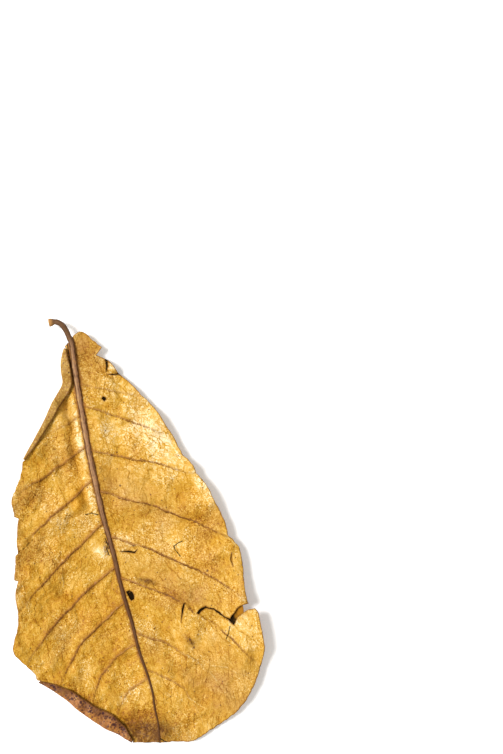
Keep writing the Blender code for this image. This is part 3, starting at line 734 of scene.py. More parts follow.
def leaf_sheet(sizes):
    """The blade as one thin sheet with its folds, not yet cut: its mesh, layers and greatest thickness."""
    grid = BladeGrid(LeafForm(sizes))
    fields = grid.fields
    height = grid.heights()
    x, y = fields["x"], fields["y"]
    rows, columns = x.shape
    taper = smooth((fields["edge"] - 1.0) / VEIN_END_REACH)
    width = sizes.vein_width * (VEIN_END_WIDTH + (1 - VEIN_END_WIDTH) * taper)
    rise = sizes.vein_rise * fields["strength"] * (VEIN_END_RISE + (1 - VEIN_END_RISE) * taper)
    ridge = rise * np.exp(-(fields["vein"] / width) ** 2)
    thickness = sizes.blade_thickness + ridge
    thickest = float(thickness.max())
    painted = {name: fields[name] for name in ("vein", "below", "strength", "run", "edge", "row")}
    painted["raised"] = sizes.tooth_lift * grid.form.tooth(x, y) + sizes.curl * grid.form.curl(x, y)
    for name, table in PATCHES.items():
        painted[name] = patches(table, x, y)

    sheet = bmesh.new()
    bmesh.ops.create_grid(sheet, x_segments=columns - 1, y_segments=rows - 1, size=1)
    weights = sheet.verts.layers.deform.verify()
    layers = {name: sheet.verts.layers.float.new(name) for name in painted}
    folded = grid.left_end[2] > 0
    unused = []
    for face in sheet.faces:
        middle = face.calc_center_median()
        column = int((middle.x + 1) / 2 * (columns - 1))
        row = int((1 - middle.y) / 2 * (rows - 1))
        if column < FOLD_COLUMNS and not (folded[row] and folded[row + 1]):
            unused.append(face)
    for vertex in sheet.verts:
        column = round((vertex.co.x + 1) / 2 * (columns - 1))
        row = round((1 - vertex.co.y) / 2 * (rows - 1))
        vertex.co = plan_to_frame(x[row, column], y[row, column], height[row, column])
        vertex[weights][0] = thickness[row, column] / thickest
        for name, layer in layers.items():
            vertex[layer] = painted[name][row, column]
    bmesh.ops.delete(sheet, geom=unused, context="FACES")
    bmesh.ops.remove_doubles(sheet, verts=sheet.verts, dist=MERGE_DISTANCE)
    return sheet, layers, thickest


def thicken(piece, thickness):
    """Give a sheet its thickness upwards, as its points weight it."""
    piece.vertex_groups.new(name="thickness")
    solidify = piece.modifiers.new("Thickness", "SOLIDIFY")
    solidify.thickness = thickness * MM
    solidify.offset = 1
    solidify.vertex_group = "thickness"
    solidify.material_offset = 1
    piece.data.shade_smooth()


def build_blade(sizes):
    """The blade with its folds, side veins, tear and holes, as one thickened sheet."""
    sheet, layers, thickest = leaf_sheet(sizes)
    for foot in FEET:
        place = plan_to_frame(*foot, 0)
        lowest = min(sheet.verts, key=lambda vertex: (vertex.co.xy - place.xy).length)
        lowest.co.z = 0.0
    for outline in CUTS:
        cut_through(sheet, outline, layers["edge"])
    bmesh.ops.triangulate(sheet, faces=sheet.faces)
    blade = finished_object("leaf_blade", sheet)
    thicken(blade, thickest)
    return blade


def build_shadow_backing(sizes):
    """A thin dark sheet under the tear, the holes and the cracks, below the blade's edges: painted shadow
    where the floor would show through.
    """
    sheet, layers, thickest = leaf_sheet(sizes)
    kept = set()
    for outline in CUTS:
        line = np.array([plan_to_frame(x, y, 0).xy for x, y in outline + outline[:1]])
        low, high = line.min(axis=0) - BACKING_OVERLAP * MM, line.max(axis=0) + BACKING_OVERLAP * MM
        for face in sheet.faces:
            middle = face.calc_center_median()
            if not (low[0] < middle.x < high[0] and low[1] < middle.y < high[1]):
                continue
            near = line_distance(line.tolist(), middle.x, middle.y) < BACKING_OVERLAP * MM
            if middle.x < BACKING_END * MM and (near or inside(line[:-1].tolist(), middle.x, middle.y)):
                kept.add(face)
    bmesh.ops.delete(sheet, geom=[face for face in sheet.faces if face not in kept], context="FACES")
    weights = sheet.verts.layers.deform.verify()
    for vertex in sheet.verts:
        low = vertex.co.z / MM - vertex[layers["raised"]] - BACKING_DROP
        vertex.co.z = max(low, BACKING_LEAST) * MM
        vertex[weights][0] = 1.0
    bmesh.ops.triangulate(sheet, faces=sheet.faces)
    tissue = finished_object("shadow_backing_sheet", sheet)
    thicken(tissue, BACKING_THICKNESS)
    return tissue


def build_midrib(sizes):
    """The stalk and the midrib as one tapered rib, from the stalk's cut end to the leaf's tip."""
    form = LeafForm(sizes)
    line = Path(STALK_LINE[:-1] + MIDRIB_LINE[1:])
    rib = bmesh.new()
    bmesh.ops.create_grid(rib, x_segments=RIB_AROUND, y_segments=RIB_RINGS, size=1)
    turn_layer = rib.verts.layers.float.new("turn")
    run_layer = rib.verts.layers.float.new("run")
    stalk_layer = rib.verts.layers.float.new("stalk")
    shares = np.linspace(0, 1, RIB_RINGS + 1)
    places = line.at(shares)
    x, y = places[:, 0], places[:, 1]
    along = np.gradient(places, axis=0)
    along /= np.linalg.norm(along, axis=1, keepdims=True)
    square = np.stack([along[:, 1], -along[:, 0]], axis=1)
    reach = shares * line.length
    stalk_length = Path(STALK_LINE[:-1]).length
    stalk = smooth((stalk_length + STALK_PAST_BASE - reach) / STALK_BLEND)
    tip = np.clip((reach - stalk_length) / (line.length - stalk_length), 0, 1)
    start = RIB_START_SHARE + (1 - RIB_START_SHARE) * smooth(tip / RIB_FULL_AT)
    width = sizes.midrib_width * start * (1 - RIB_TAPER * tip ** RIB_TAPER_POWER)
    rise = sizes.midrib_rise * (1 - RIB_RISE_TAPER * tip)
    swell = 1 + SWELL * smooth((SWELL_REACH - reach) / SWELL_BLEND)
    broad = np.array([noise.noise(Vector((0, 0, value / RIB_WOBBLE_LENGTH))) for value in reach])
    fine = np.array([noise.noise(Vector((5, 0, value / RIB_FINE_WOBBLE_LENGTH))) for value in reach])
    wobble = broad + RIB_FINE_WOBBLE * fine
    stalk_radius = sizes.stalk_thickness / 2 * stalk * swell
    half_width = (width / 2 * (1 - stalk) + stalk_radius) * (1 + RIB_WOBBLE * wobble)
    upper = rise * (1 - stalk) + stalk_radius
    lower = RIB_BELOW * (1 - stalk) + stalk_radius
    floor = form.height(x, y, form.relief(x, y))
    centre = floor + sizes.blade_thickness * RIB_SINK + STALK_LIFT * stalk
    for vertex in rib.verts:
        turn = (vertex.co.x + 1) * math.pi
        ring = round((vertex.co.y + 1) / 2 * RIB_RINGS)
        out = math.sin(turn) * half_width[ring]
        up = math.cos(turn)
        height = centre[ring] + up * (upper[ring] if up > 0 else lower[ring])
        place = places[ring] + square[ring] * out
        vertex.co = plan_to_frame(place[0], place[1], max(height, RIB_LEAST_HEIGHT))
        vertex[turn_layer] = math.sin(turn) if up > 0 else math.copysign(1, math.sin(turn))
        vertex[run_layer] = reach[ring]
        vertex[stalk_layer] = stalk[ring]
    bmesh.ops.remove_doubles(rib, verts=rib.verts, dist=MERGE_DISTANCE)
    bmesh.ops.holes_fill(rib, edges=[edge for edge in rib.edges if edge.is_boundary])
    bmesh.ops.recalc_face_normals(rib, faces=rib.faces)
    piece = finished_object("midrib_and_stalk", rib)
    piece.data.shade_smooth()
    piece.data.set_sharp_from_angle(angle=math.radians(RIB_SHARP_ANGLE))
    return piece


class Value:
    """An output of a shader node, which Python arithmetic extends with Math nodes."""

    def __init__(self, finish, output):
        self.finish = finish
        self.output = output

    def math(self, operation, *values):
        """A Math node on these values."""
        inputs = dict(enumerate(values))
        return self.finish.node("ShaderNodeMath", {"operation": operation}, inputs)

    def __add__(self, other):
        return self.math("ADD", self, other)

    def __radd__(self, other):
        return self.math("ADD", other, self)

    def __sub__(self, other):
        return self.math("SUBTRACT", self, other)

    def __rsub__(self, other):
        return self.math("SUBTRACT", other, self)

    def __mul__(self, other):
        return self.math("MULTIPLY", self, other)

    def __rmul__(self, other):
        return self.math("MULTIPLY", other, self)

    def __truediv__(self, other):
        return self.math("DIVIDE", self, other)

    def __pow__(self, other):
        return self.math("POWER", self, other)

    def __abs__(self):
        return self.math("ABSOLUTE", self)

    def wave(self, length):
        """The distance to the nearest whole multiple of a length."""
        return self.math("PINGPONG", self, length / 2)

    def most(self, other):
        return self.math("MAXIMUM", self, other)

    def least(self, other):
        return self.math("MINIMUM", self, other)


class Finish:
    """A material and its nodes."""

    def __init__(self, name):
        self.material = bpy.data.materials.new(name)
        self.material.use_nodes = True
        self.tree = self.material.node_tree
        self.shader = self.tree.nodes["Principled BSDF"]
        self.place = self.vector("SCALE", self.node("ShaderNodeTexCoord", {}, {}, "Object"), scale=1 / MM)
        self.plan = self.vector("MULTIPLY", self.place, (1.0, 1.0, 0.0))

    def node(self, kind, settings, inputs, output=0):
        """Add a node: its settings, then the values or links of its sockets. Gives one of its outputs."""
        node = self.tree.nodes.new(kind)
        for name, setting in settings.items():
            if name == "stops":
                self.set_stops(node.color_ramp, setting)
            else:
                setattr(node, name, setting)
        for name, value in inputs.items():
            if isinstance(value, Value):
                self.tree.links.new(value.output, node.inputs[name])
            else:
                node.inputs[name].default_value = value
        return Value(self, node.outputs[output])

    @staticmethod
    def set_stops(ramp, stops):
        """Give a colour ramp its stops, each a position and a colour."""
        while len(ramp.elements) < len(stops):
            ramp.elements.new(1.0)
        for element, (position, colour) in zip(ramp.elements, stops):
            element.position = position
            element.color = opaque(colour)

    def vector(self, operation, first, second=None, scale=None, output="Vector"):
        """A Vector Math node."""
        inputs = {0: first}
        if second is not None:
            inputs[1] = second
        if scale is not None:
            inputs["Scale"] = scale
        return self.node("ShaderNodeVectorMath", {"operation": operation}, inputs, output)

    def ramp(self, value, stops):
        """A colour read from a ramp."""
        return self.node("ShaderNodeValToRGB", {"stops": stops}, {"Fac": value}, "Color")

    def swayed(self, place, amount, size):
        """A place moved about unevenly by up to half this amount."""
        inputs = {"Vector": self.place, "Scale": 1 / size, "Detail": 1.0}
        drift = self.node("ShaderNodeTexNoise", {}, inputs, "Color")
        drift = self.vector("SUBTRACT", drift, (0.5, 0.5, 0.5))
        return self.vector("ADD", place, self.vector("SCALE", drift, scale=amount))

    def lines(self, table, place):
        """The distance in millimetres from the nearest of a table's lines."""
        nearest = None
        for line in table:
            for start, end in zip(line, line[1:]):
                run = Vector((end[0] - start[0], end[1] - start[1], 0.0))
                origin = (start[0] + PLAN_ORIGIN[0], start[1] + PLAN_ORIGIN[1], 0.0)
                away = self.vector("SUBTRACT", place, origin)
                share = self.vector("DOT_PRODUCT", away, tuple(run / run.length_squared), output="Value")
                share = share.most(0.0).least(1.0)
                foot = self.vector("MULTIPLY", tuple(run), self.join(share, share, share))
                gap = self.vector("DISTANCE", away, foot, output="Value")
                nearest = gap if nearest is None else nearest.least(gap)
        return nearest

    def specks(self, table, place):
        """How strongly a table's specks cover a place, from 0 to 1."""
        cover = None
        for (x, y), radius in table:
            middle = (x + PLAN_ORIGIN[0], y + PLAN_ORIGIN[1], 0.0)
            gap = self.vector("DISTANCE", place, middle, output="Value")
            speck = self.between(gap, radius * 0.45, radius, 1.0, 0.0)
            cover = speck if cover is None else cover.most(speck)
        return cover

    def dots(self, size, least, most, place=None):
        """Scattered dots from 0 to 1 in cells of this size, solid under the least share of a cell."""
        inputs = {"Vector": place or self.plan, "Scale": 1 / size}
        settings = {"feature": "F1", "voronoi_dimensions": "2D"}
        gap = self.node("ShaderNodeTexVoronoi", settings, inputs, "Distance")
        return self.between(gap, least, most, 1.0, 0.0)

    def attribute(self, name):
        """A number that the mesh carries at its points."""
        return self.node("ShaderNodeAttribute", {"attribute_name": name}, {}, "Fac")

    def attributes(self, *names):
        """Several of these numbers."""
        return [self.attribute(name) for name in names]

    def noise(self, size, detail=2.0, roughness=0.5, distortion=0.0, place=None):
        """Soft noise from 0 to 1, about this many millimetres across."""
        inputs = {"Vector": place or self.place, "Scale": 1 / size, "Detail": detail, "Roughness": roughness,
                  "Distortion": distortion}
        return self.node("ShaderNodeTexNoise", {}, inputs, "Fac")

    def net(self, size, place=None):
        """The distance to the edges of uneven cells of about this size, as a share of a cell."""
        inputs = {"Vector": place or self.place, "Scale": 1 / size}
        return self.node("ShaderNodeTexVoronoi", {"feature": "DISTANCE_TO_EDGE"}, inputs, "Distance")

    def between(self, value, low, high, first=0.0, last=1.0):
        """A smooth step from first to last as a value goes from low to high."""
        inputs = {"Value": value, "From Min": low, "From Max": high, "To Min": first, "To Max": last}
        return self.node("ShaderNodeMapRange", {"interpolation_type": "SMOOTHSTEP"}, inputs, "Result")

    def mix(self, share, first, second, blend="MIX"):
        """A colour between two colours, each a value or three numbers."""
        first, second = (end if isinstance(end, Value) else opaque(end) for end in (first, second))
        settings = {"data_type": "RGBA", "blend_type": blend, "clamp_factor": True}
        return self.node("ShaderNodeMix", settings, {0: share, 6: first, 7: second}, 2)

    def join(self, x, y, z=0.0):
        """A vector from three numbers."""
        return self.node("ShaderNodeCombineXYZ", {}, {"X": x, "Y": y, "Z": z}, "Vector")

    def bump(self, height, depth, strength=1.0):
        """A normal for a height from 0 to 1 over a depth in millimetres."""
        inputs = {"Height": height, "Distance": depth * MM, "Strength": strength}
        return self.node("ShaderNodeBump", {}, inputs, "Normal")

    def set(self, **sockets):
        """Set or link the shader's own sockets."""
        for name, value in sockets.items():
            socket = self.shader.inputs[name.replace("_", " ")]
            if isinstance(value, Value):
                self.tree.links.new(value.output, socket)
            else:
                socket.default_value = value


def opaque(colour):
    """A colour with its alpha."""
    return (*colour, 1.0)


def lower_face_finish(colours, rib_width):
    """The face that looks up: golden ochre, mottled and with wear, with brown veins and a fine net, and with
    painted highlight and painted shade in places.
    """
    finish = Finish("leaf_lower_face")
    pale, shade, gold, grey, dark, calm = finish.attributes("pale", "shade", "gold", "grey", "dark", "calm")
    vein, below, strength = finish.attributes("vein", "below", "strength")
    run, row, edge = finish.attributes("run", "row", "edge")

    broad = finish.noise(26, 2.0) - 0.5
    blotch = finish.noise(9, 2.5, 0.55, 0.8) - 0.5
    mottle = finish.noise(3.4, 2.5, 0.6, 0.5) - 0.5
    fleck = finish.noise(1.5, 2.0, 0.6) - 0.5
    grain = finish.noise(0.8, 1.0) - 0.5
    dust = finish.noise(0.42, 0.0) - 0.5
    stir = 1 - 0.6 * calm
    rough = finish.between(finish.noise(15, 1.0), 0.4, 0.62, 0.6, 1.25) * (1 - 0.35 * calm)

    along = finish.swayed(finish.join(run, row), 5.0, 6)
    ladder = run + (finish.noise(11, 2.0) - 0.5) * 16
    rungs = finish.between(ladder.wave(5.4), 0.08, 0.45, 1.0, 0.0)
    rungs = rungs * finish.between(finish.noise(6, 1.0), 0.42, 0.6)
    coarse_net = finish.between(finish.net(3.4, along), 0.02, 0.11, 1.0, 0.0)
    coarse_net = coarse_net * finish.between(blotch, -0.08, 0.1)
    fine_net = finish.between(finish.net(1.3, along), 0.03, 0.2, 1.0, 0.0)
    creases = finish.lines(CREASES, finish.swayed(finish.plan, 2.2, 4))
    crease = finish.between(creases, 0.12, 0.65, 1.0, 0.0) * finish.between(mottle, -0.12, 0.06, 0.35, 1.0)
    pale_creases = finish.lines(PALE_CREASES, finish.swayed(finish.plan, 1.6, 5))
    pale_crease = finish.between(pale_creases, 0.1, 0.6, 1.0, 0.0)
    pale_crease = pale_crease * finish.between(mottle, -0.15, 0.0, 0.3, 1.0)

    streak = finish.noise(2.4, 2.0, 0.6, 0.3, finish.join(run * 0.33 + blotch * 6, row)) - 0.5
    weave = finish.noise(1.7, 2.0, 0.6, 0.2, finish.join(run, row * 0.25 + blotch * 5)) - 0.5
    tone = 0.55 + broad * 0.6 + (blotch * 0.65 + mottle * 0.34 + streak * 0.42) * stir + weave * 0.4
    tone = tone + (fleck * 0.38 + grain * 0.75 + dust * 0.75) * rough * (1 - pale * 0.3)
    # Pale patches lift the tone and shade patches lower it: paler and browner parts of the leaf, with painted
    # highlight and painted shade.
    tone = tone + pale * 0.5 - shade * 0.42
    tone = tone - rungs * 0.18 - coarse_net * (0.12 + pale * 0.36) - fine_net * 0.08 - crease * 0.3
    # Pale flecks where the fine noise peaks, strongest in the pale patches: partly spots of wear and partly
    # painted glints on the tiny bumps.
    wear_and_glint = finish.between(fleck + mottle * 0.8, 0.07, 0.16)
    wear_and_glint = wear_and_glint * finish.between(pale + blotch, 0.05, 0.6, 0.1, 1.0)
    tone = tone + wear_and_glint * 0.12 + pale_crease * 0.22
    # Tone to colour; the pale end of the ramp is partly painted sheen.
    colour = finish.ramp(tone, ((0.0, colours.deep), (0.25, colours.brown), (0.5, colours.ochre),
                                (0.72, colours.golden), (1.0, colours.cream_and_sheen)))
    rich = gold * 0.75 + finish.between(finish.noise(12, 2.0), 0.5, 0.66, 0.0, 0.35)
    colour = finish.mix(rich, colour, colours.rich, "MULTIPLY")
    dull = grey * 0.62 + calm * 0.42 + finish.between(finish.noise(17, 2.0), 0.5, 0.68, 0.0, 0.3)
    greyed = finish.ramp(tone, ((0.0, colours.vein), (0.5, colours.dull), (1.0, colours.pinkish)))
    colour = finish.mix(dull, colour, greyed)

    ragged = vein + fleck * 1.6 + grain * 0.8
    x = finish.node("ShaderNodeSeparateXYZ", {}, {"Vector": finish.plan}, "X")
    left_side = finish.between(x, -2, 1, 1.0, 0.0)
    fade = finish.between(edge + mottle * 30, 2, 24, 0.15, 1.0) * strength
    halo = finish.between(ragged / (1.3 + left_side * 1.1), 0.25, 1.0, 0.75, 0.0)
    halo = halo * fade * (0.45 + left_side * 0.4)
    core = finish.between(ragged, 0.15, 0.7 + 0.25 * left_side, 0.85, 0.0) * fade
    worn_vein = finish.between(row, 128, 160) * (1 - left_side) * finish.between(run, 12, 34)
    crest = finish.between(ragged, 0.0, 0.4, 0.7, 0.0)
    crest = crest * finish.between(run, 6, 16 + 18 * (1 - left_side), 1.0, 0.1)
    # A thin dark line half a millimetre to the tip side of each side vein: painted shade on the side of the
    # raised vein away from the key light.
    under = finish.between(abs(vein * below - 0.5) + fleck * 0.8 + grain * 0.8, 0.0, 0.3, 0.9, 0.0) * fade
    colour = finish.mix(halo * (1 - worn_vein * 0.6), colour, colours.halo)
    colour = finish.mix(core * (1 - worn_vein * 0.7), colour, colours.vein)
    knots = finish.between(ragged + mottle * 1.5, 0.0, 0.5, 0.75, 0.0) * finish.between(run, 8, 32) * fade
    colour = finish.mix(crest * fade, colour, colours.crest)
    colour = finish.mix(knots * (1 - worn_vein), colour, colours.under)
    colour = finish.mix(under * (1 - worn_vein * 0.7), colour, colours.under)
    lit = finish.between(ragged + 0.3, 0.2, 0.7, 0.45, 0.0) * worn_vein
    colour = finish.mix(lit, colour, colours.golden)
    rib_edge = rib_width / 2 * (1 - RIB_TAPER * (row / MIDRIB_LENGTH) ** RIB_TAPER_POWER)
    beside = finish.between(run - rib_edge + fleck * 2.4 + mottle, 0.0, 1.2, 0.9, 0.0)
    beside = beside * (0.6 + left_side * 0.4)
    colour = finish.mix(beside, colour, colours.vein)
    stain = (dark * 1.6).least(1.0) * finish.between(mottle + fleck, -0.12, 0.12, 0.55, 1.0)
    colour = finish.mix(stain, colour, colours.stain, "MULTIPLY")

    cracks = finish.lines(CRACK_LINES, finish.swayed(finish.plan, 0.7, 2))
    crack = finish.between(cracks + fleck * 0.5, 0.1, 0.34, 0.95, 0.0)
    specks = finish.specks(SPECKS, finish.swayed(finish.plan, 0.9, 0.9)) * 0.85
    dots = finish.dots(14, 0.016, 0.036) * 0.8
    lip = finish.between(edge + fleck * 0.9, 0.1, 0.75, 0.8, 0.0)
    colour = finish.mix(lip, colour, colours.edge)
    colour = finish.mix(specks.most(dots), colour, colours.purple)
    colour = finish.mix(crack, colour, colours.black)

    finish.set(Base_Color=colour, Roughness=finish.between(mottle + grain, -0.2, 0.2, 0.36, 0.56))
    finish.set(Specular_IOR_Level=0.1)
    relief = blotch * 1.3 + mottle * 0.5 + streak * 0.3 + fleck * 0.18 + grain * 0.07 + rungs * 0.16
    relief = relief + coarse_net * 0.12 + fine_net * 0.04 - crease * 0.3 - crack * 0.35 + pale_crease * 0.2
    finish.set(Normal=finish.bump(relief, 1.0))
    return finish.material


def upper_face_finish(colours):
    """The smoother face that lies down and shows on the folds: brown, with specks on the lower fold."""
    finish = Finish("leaf_upper_face")
    vein, run, edge = finish.attributes("vein", "run", "edge")
    blotch = finish.noise(6, 2.5, 0.6, 0.5) - 0.5
    fleck = finish.noise(1.4, 2.0, 0.6) - 0.5
    grain = finish.noise(0.8, 1.0) - 0.5
    y = finish.node("ShaderNodeSeparateXYZ", {}, {"Vector": finish.plan}, "Y")
    lower = finish.between(y, -40, 20, 1.0, 0.0)
    fine_net = finish.between(finish.net(2.0), 0.03, 0.16, 1.0, 0.0)
    tone = 0.53 + blotch * 0.9 + fleck * 0.8 + grain * 0.9 - fine_net * 0.22
    tan = finish.ramp(tone, ((0.0, colours.vein), (0.5, colours.straw), (1.0, colours.golden)))
    bronze = finish.ramp(tone, ((0.0, colours.vein), (0.5, colours.bronze), (1.0, colours.ochre)))
    colour = finish.mix(lower, tan, bronze)
    purple = finish.between(edge + blotch * 14, 0.3, 5.0, 0.6, 0.0) * lower
    colour = finish.mix(purple, colour, colours.purple)
    near_edge = finish.between(edge + blotch * 12, 3.5, 9.5, 1.0, 0.0)
    near_edge = near_edge * finish.between(finish.noise(4.5, 1.0), 0.32, 0.5, 0.2, 1.0)
    speck = (finish.dots(3.1, 0.2, 0.3) * near_edge).most(finish.dots(1.7, 0.2, 0.34) * near_edge)
    speck = speck.most(finish.dots(4.1, 0.07, 0.13))
    colour = finish.mix(speck * lower * 0.95, colour, colours.night)
    colour = finish.mix(finish.between(abs(vein - 1.3), 0.1, 0.8, 0.4, 0.0), colour, colours.vein)
    colour = finish.mix(finish.between(vein, 0.15, 0.9, 0.45, 0.0), colour, colours.golden)
    colour = finish.mix(finish.between(run, 0.4, 1.4, 0.6, 0.0), colour, colours.straw)
    lip = finish.between(edge + fleck * 0.8, 0.25, 1.1, 0.85, 0.0)
    colour = finish.mix(lip, colour, colours.under)
    specks = finish.specks(SPECKS, finish.swayed(finish.plan, 0.9, 0.9)) * 0.85
    colour = finish.mix(specks, colour, colours.night)
    finish.set(Base_Color=colour, Roughness=finish.between(fleck, -0.2, 0.2, 0.38, 0.52))
    finish.set(Specular_IOR_Level=0.15)
    finish.set(Normal=finish.bump(blotch * 1.2 + fleck * 0.4 + grain * 0.12, 1.0))
    return finish.material


def shadow_backing_finish(colours):
    """Nearly black painted shadow, browner where the tear opens out."""
    finish = Finish("painted_shadow")
    fleck = finish.noise(1.6, 2.0, 0.6)
    x = finish.node("ShaderNodeSeparateXYZ", {}, {"Vector": finish.plan}, "X")
    brown = finish.between(x + fleck * 6, 55.0, 60.0) + finish.between(fleck, 0.6, 0.7) * 0.4
    colour = finish.mix(brown, colours.black, colours.halo)
    finish.set(Base_Color=colour, Roughness=0.8, Specular_IOR_Level=0.0)
    return finish.material


def rib_finish(colours):
    """Purplish brown, paler along the crest and darker on its sides, partly as painted light, with a thin
    painted highlight along part of the crest; darker on the stalk, and straw at the stalk's cut end.
    """
    finish = Finish("midrib_bark")
    turn, run, stalk = finish.attributes("turn", "run", "stalk")
    streak = finish.noise(0.9, 3.0, 0.6, 0.0, finish.join(turn * 2.5, run * 0.14)) - 0.5
    fleck = finish.noise(1.5, 2.5, 0.6) - 0.5
    # The midrib darker on its sides than on its crest: its own darker sides, and partly painted shade round
    # the raised rib.
    dark_flank_and_shade = finish.between(abs(turn + 0.1) + streak * 1.3, 0.35, 0.95, 0.0, 0.95)
    colour = finish.mix(dark_flank_and_shade, colours.rib_crest, colours.rib)
    colour = finish.mix(finish.between(streak, 0.0, 0.16, 0.0, 0.65), colour, colours.rib)
    colour = finish.mix(finish.between(streak + fleck, -0.04, -0.2, 0.0, 0.6), colour, colours.crest)
    colour = finish.mix(finish.between(fleck, 0.05, 0.2, 0.0, 0.4), colour, colours.rib)
    colour = finish.mix(stalk * 0.8, colour, colours.stalk)
    colour = finish.mix(finish.between(run, 85, 165, 0.0, 0.88), colour, colours.rib)
    colour = finish.mix(finish.between(run + fleck * 3, 1.0, 3.0, 0.85, 0.0), colour, colours.crest)
    colour = finish.mix(finish.between(run, 0.0, 0.3, 0.8, 0.0), colour, colours.golden)
    # A thin light line just off the crest, along the middle of the midrib: a painted highlight.
    ridge = finish.between(abs(turn - 0.3 + streak * 1.6), 0.05, 0.3, 0.22, 0.0)
    ridge = ridge * finish.between(run, 70, 125, 1.0, 0.0)
    colour = finish.mix(ridge * (1 - stalk), colour, colours.pinkish)
    finish.set(Base_Color=colour, Roughness=finish.between(fleck, -0.2, 0.2, 0.45, 0.62))
    finish.set(Specular_IOR_Level=0.08)
    finish.set(Normal=finish.bump(streak * 0.35 + fleck * 0.2, 1.0))
    return finish.material


def number_property(name, description, default, least, most):
    """A size or strength that the user can change."""
    return FloatProperty(name=name, description=description, default=default, min=least, max=most)


class LeafSizes(bpy.types.PropertyGroup):
    """Sizes of the leaf's fine form, in millimetres."""

    blade_thickness: number_property("Blade thickness", "Thickness of the blade between its veins",
                                   0.42, 0.2, 1.0)
    vein_rise: number_property("Side vein rise", "How far a side vein stands out near the midrib",
                             0.45, 0.0, 1.5)
    vein_width: number_property("Side vein width", "Half width of a side vein near the midrib",
                                0.62, 0.2, 2.0)
    vein_sway: number_property("Side vein sway", "How far the side veins wander from their lines",
                             1.3, 0.0, 3.0)
    midrib_width: number_property("Midrib width", "Width of the midrib at the blade's base", 4.2, 1.0, 6.0)
    midrib_rise: number_property("Midrib rise", "How far the midrib stands out at the blade's base",
                               1.9, 0.5, 4.0)
    stalk_thickness: number_property("Stalk thickness", "Thickness of the stalk", 3.0, 1.0, 6.0)
    crumple: number_property("Crumple", "Height of the uneven bumps over the blade", 2.1, 0.0, 4.0)
    creasing: number_property("Creasing", "Height of the sharp ridges that cross the blade", 1.3, 0.0, 3.0)
    pleat: number_property("Pleat", "Depth of the long furrow on the left of the midrib", 1.5, 0.0, 3.0)
    tooth_lift: number_property("Tooth lift", "How far the torn tooth stands over the tear", 1.4, 0.0, 3.0)
    curl: number_property("Curl", "How far the small torn bit at the right margin curls up", 3.0, 0.0, 4.0)
    ragged: number_property("Ragged margin", "How uneven the margins are", 0.5, 0.0, 1.0)


def colour_property(name, description, default):
    """A colour that the user can change."""
    return FloatVectorProperty(name=name, description=description, subtype="COLOR", size=3, default=default,
                               min=0.0, max=1.0)


class LeafColours(bpy.types.PropertyGroup):
    """Colours of the leaf's finishes."""

    deep: colour_property("Deep brown", "Darkest mottling", (0.19, 0.062, 0.002))
    brown: colour_property("Brown", "Brown mottling", (0.36, 0.152, 0.008))
    ochre: colour_property("Ochre", "Main colour of the ribbed face", (0.52, 0.282, 0.028))
    golden: colour_property("Golden", "Lighter, golden parts", (0.63, 0.39, 0.098))
    # Cream: the pale end of the tone, for pale spots of wear and a painted sheen where the blade faces the
    # key light.
    cream_and_sheen: colour_property("Cream", "Worn pale spots", (0.80, 0.665, 0.41))
    # Rich: multiplies the deep golden parts; in the strips beside the midrib this is partly painted shade.
    rich: colour_property("Rich", "What the deep golden parts are multiplied by", (0.95, 0.80, 0.35))
    dull: colour_property("Dull", "Greyer parts", (0.41, 0.222, 0.062))
    pinkish: colour_property("Pinkish tan", "Lighter spots of the greyer parts", (0.66, 0.445, 0.18))
    halo: colour_property("Halo", "Soft brown beside the side veins", (0.32, 0.135, 0.012))
    vein: colour_property("Vein", "Shaded flanks of the side veins", (0.25, 0.095, 0.016))
    crest: colour_property("Crest", "Crests of the side veins", (0.40, 0.20, 0.062))
    # Vein edge: dark brown for the knots on the side veins and the edges of the smoother face, and painted
    # shade along the tip side of each side vein.
    under: colour_property("Vein edge", "Thin dark line below each side vein", (0.13, 0.048, 0.008))
    stain: colour_property("Stain", "What the stained parts are multiplied by", (0.27, 0.20, 0.20))
    edge: colour_property("Edge", "Thin line along the margin", (0.24, 0.10, 0.015))
    purple: colour_property("Purple", "Purple-brown stains", (0.11, 0.046, 0.020))
    night: colour_property("Speckle", "Specks on the lower fold", (0.048, 0.014, 0.015))
    # Black: the cracks, and the painted shadow on the dark backing sheet.
    black: colour_property("Black", "Cracks and dead tissue", (0.012, 0.007, 0.003))
    straw: colour_property("Straw", "Upper fold, and the stalk's cut end", (0.34, 0.19, 0.035))
    bronze: colour_property("Bronze", "Lower fold", (0.34, 0.133, 0.040))
    # Rib and Rib crest: the midrib's darker sides and paler crest, partly painted shade and painted light.
    rib: colour_property("Rib", "Flanks of the midrib", (0.080, 0.032, 0.011))
    rib_crest: colour_property("Rib crest", "Crest of the midrib", (0.30, 0.158, 0.085))
    stalk: colour_property("Stalk", "Stalk", (0.085, 0.042, 0.019))


class StageSettings(bpy.types.PropertyGroup):
    """The floor and the light."""

    floor: colour_property("Floor", "Colour of the floor", (0.93, 0.93, 0.93))
    glow: number_property("Floor glow", "How strongly the floor is lit from below, as a light table",
                          0.22, 0.0, 1.0)
    key: number_property("Key light", "Strength of the key light", 4.05, 0.0, 10.0)
    key_angle: FloatProperty(name="Key softness", description="Apparent width of the key light",
                             subtype="ANGLE", default=math.radians(22), min=0.0, max=math.pi)
    fill_colour: colour_property("Fill colour", "Colour of the light from all round", (1.0, 0.965, 0.90))
    fill: number_property("Fill light", "Strength of the light from all round", 0.55, 0.0, 5.0)


class LEAF_OT_blade(bpy.types.Operator):
    """Make the blade with its folds, veins, tear and holes"""

    bl_idname = "leaf.blade"
    bl_label = "Blade"

    def execute(self, context):
        blade = build_blade(context.scene.leaf_sizes)
        colours = context.scene.leaf_colours
        blade.data.materials.append(lower_face_finish(colours, context.scene.leaf_sizes.midrib_width))
        blade.data.materials.append(upper_face_finish(colours))
        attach(blade, "root")
        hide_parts("leaf")
        return {"FINISHED"}


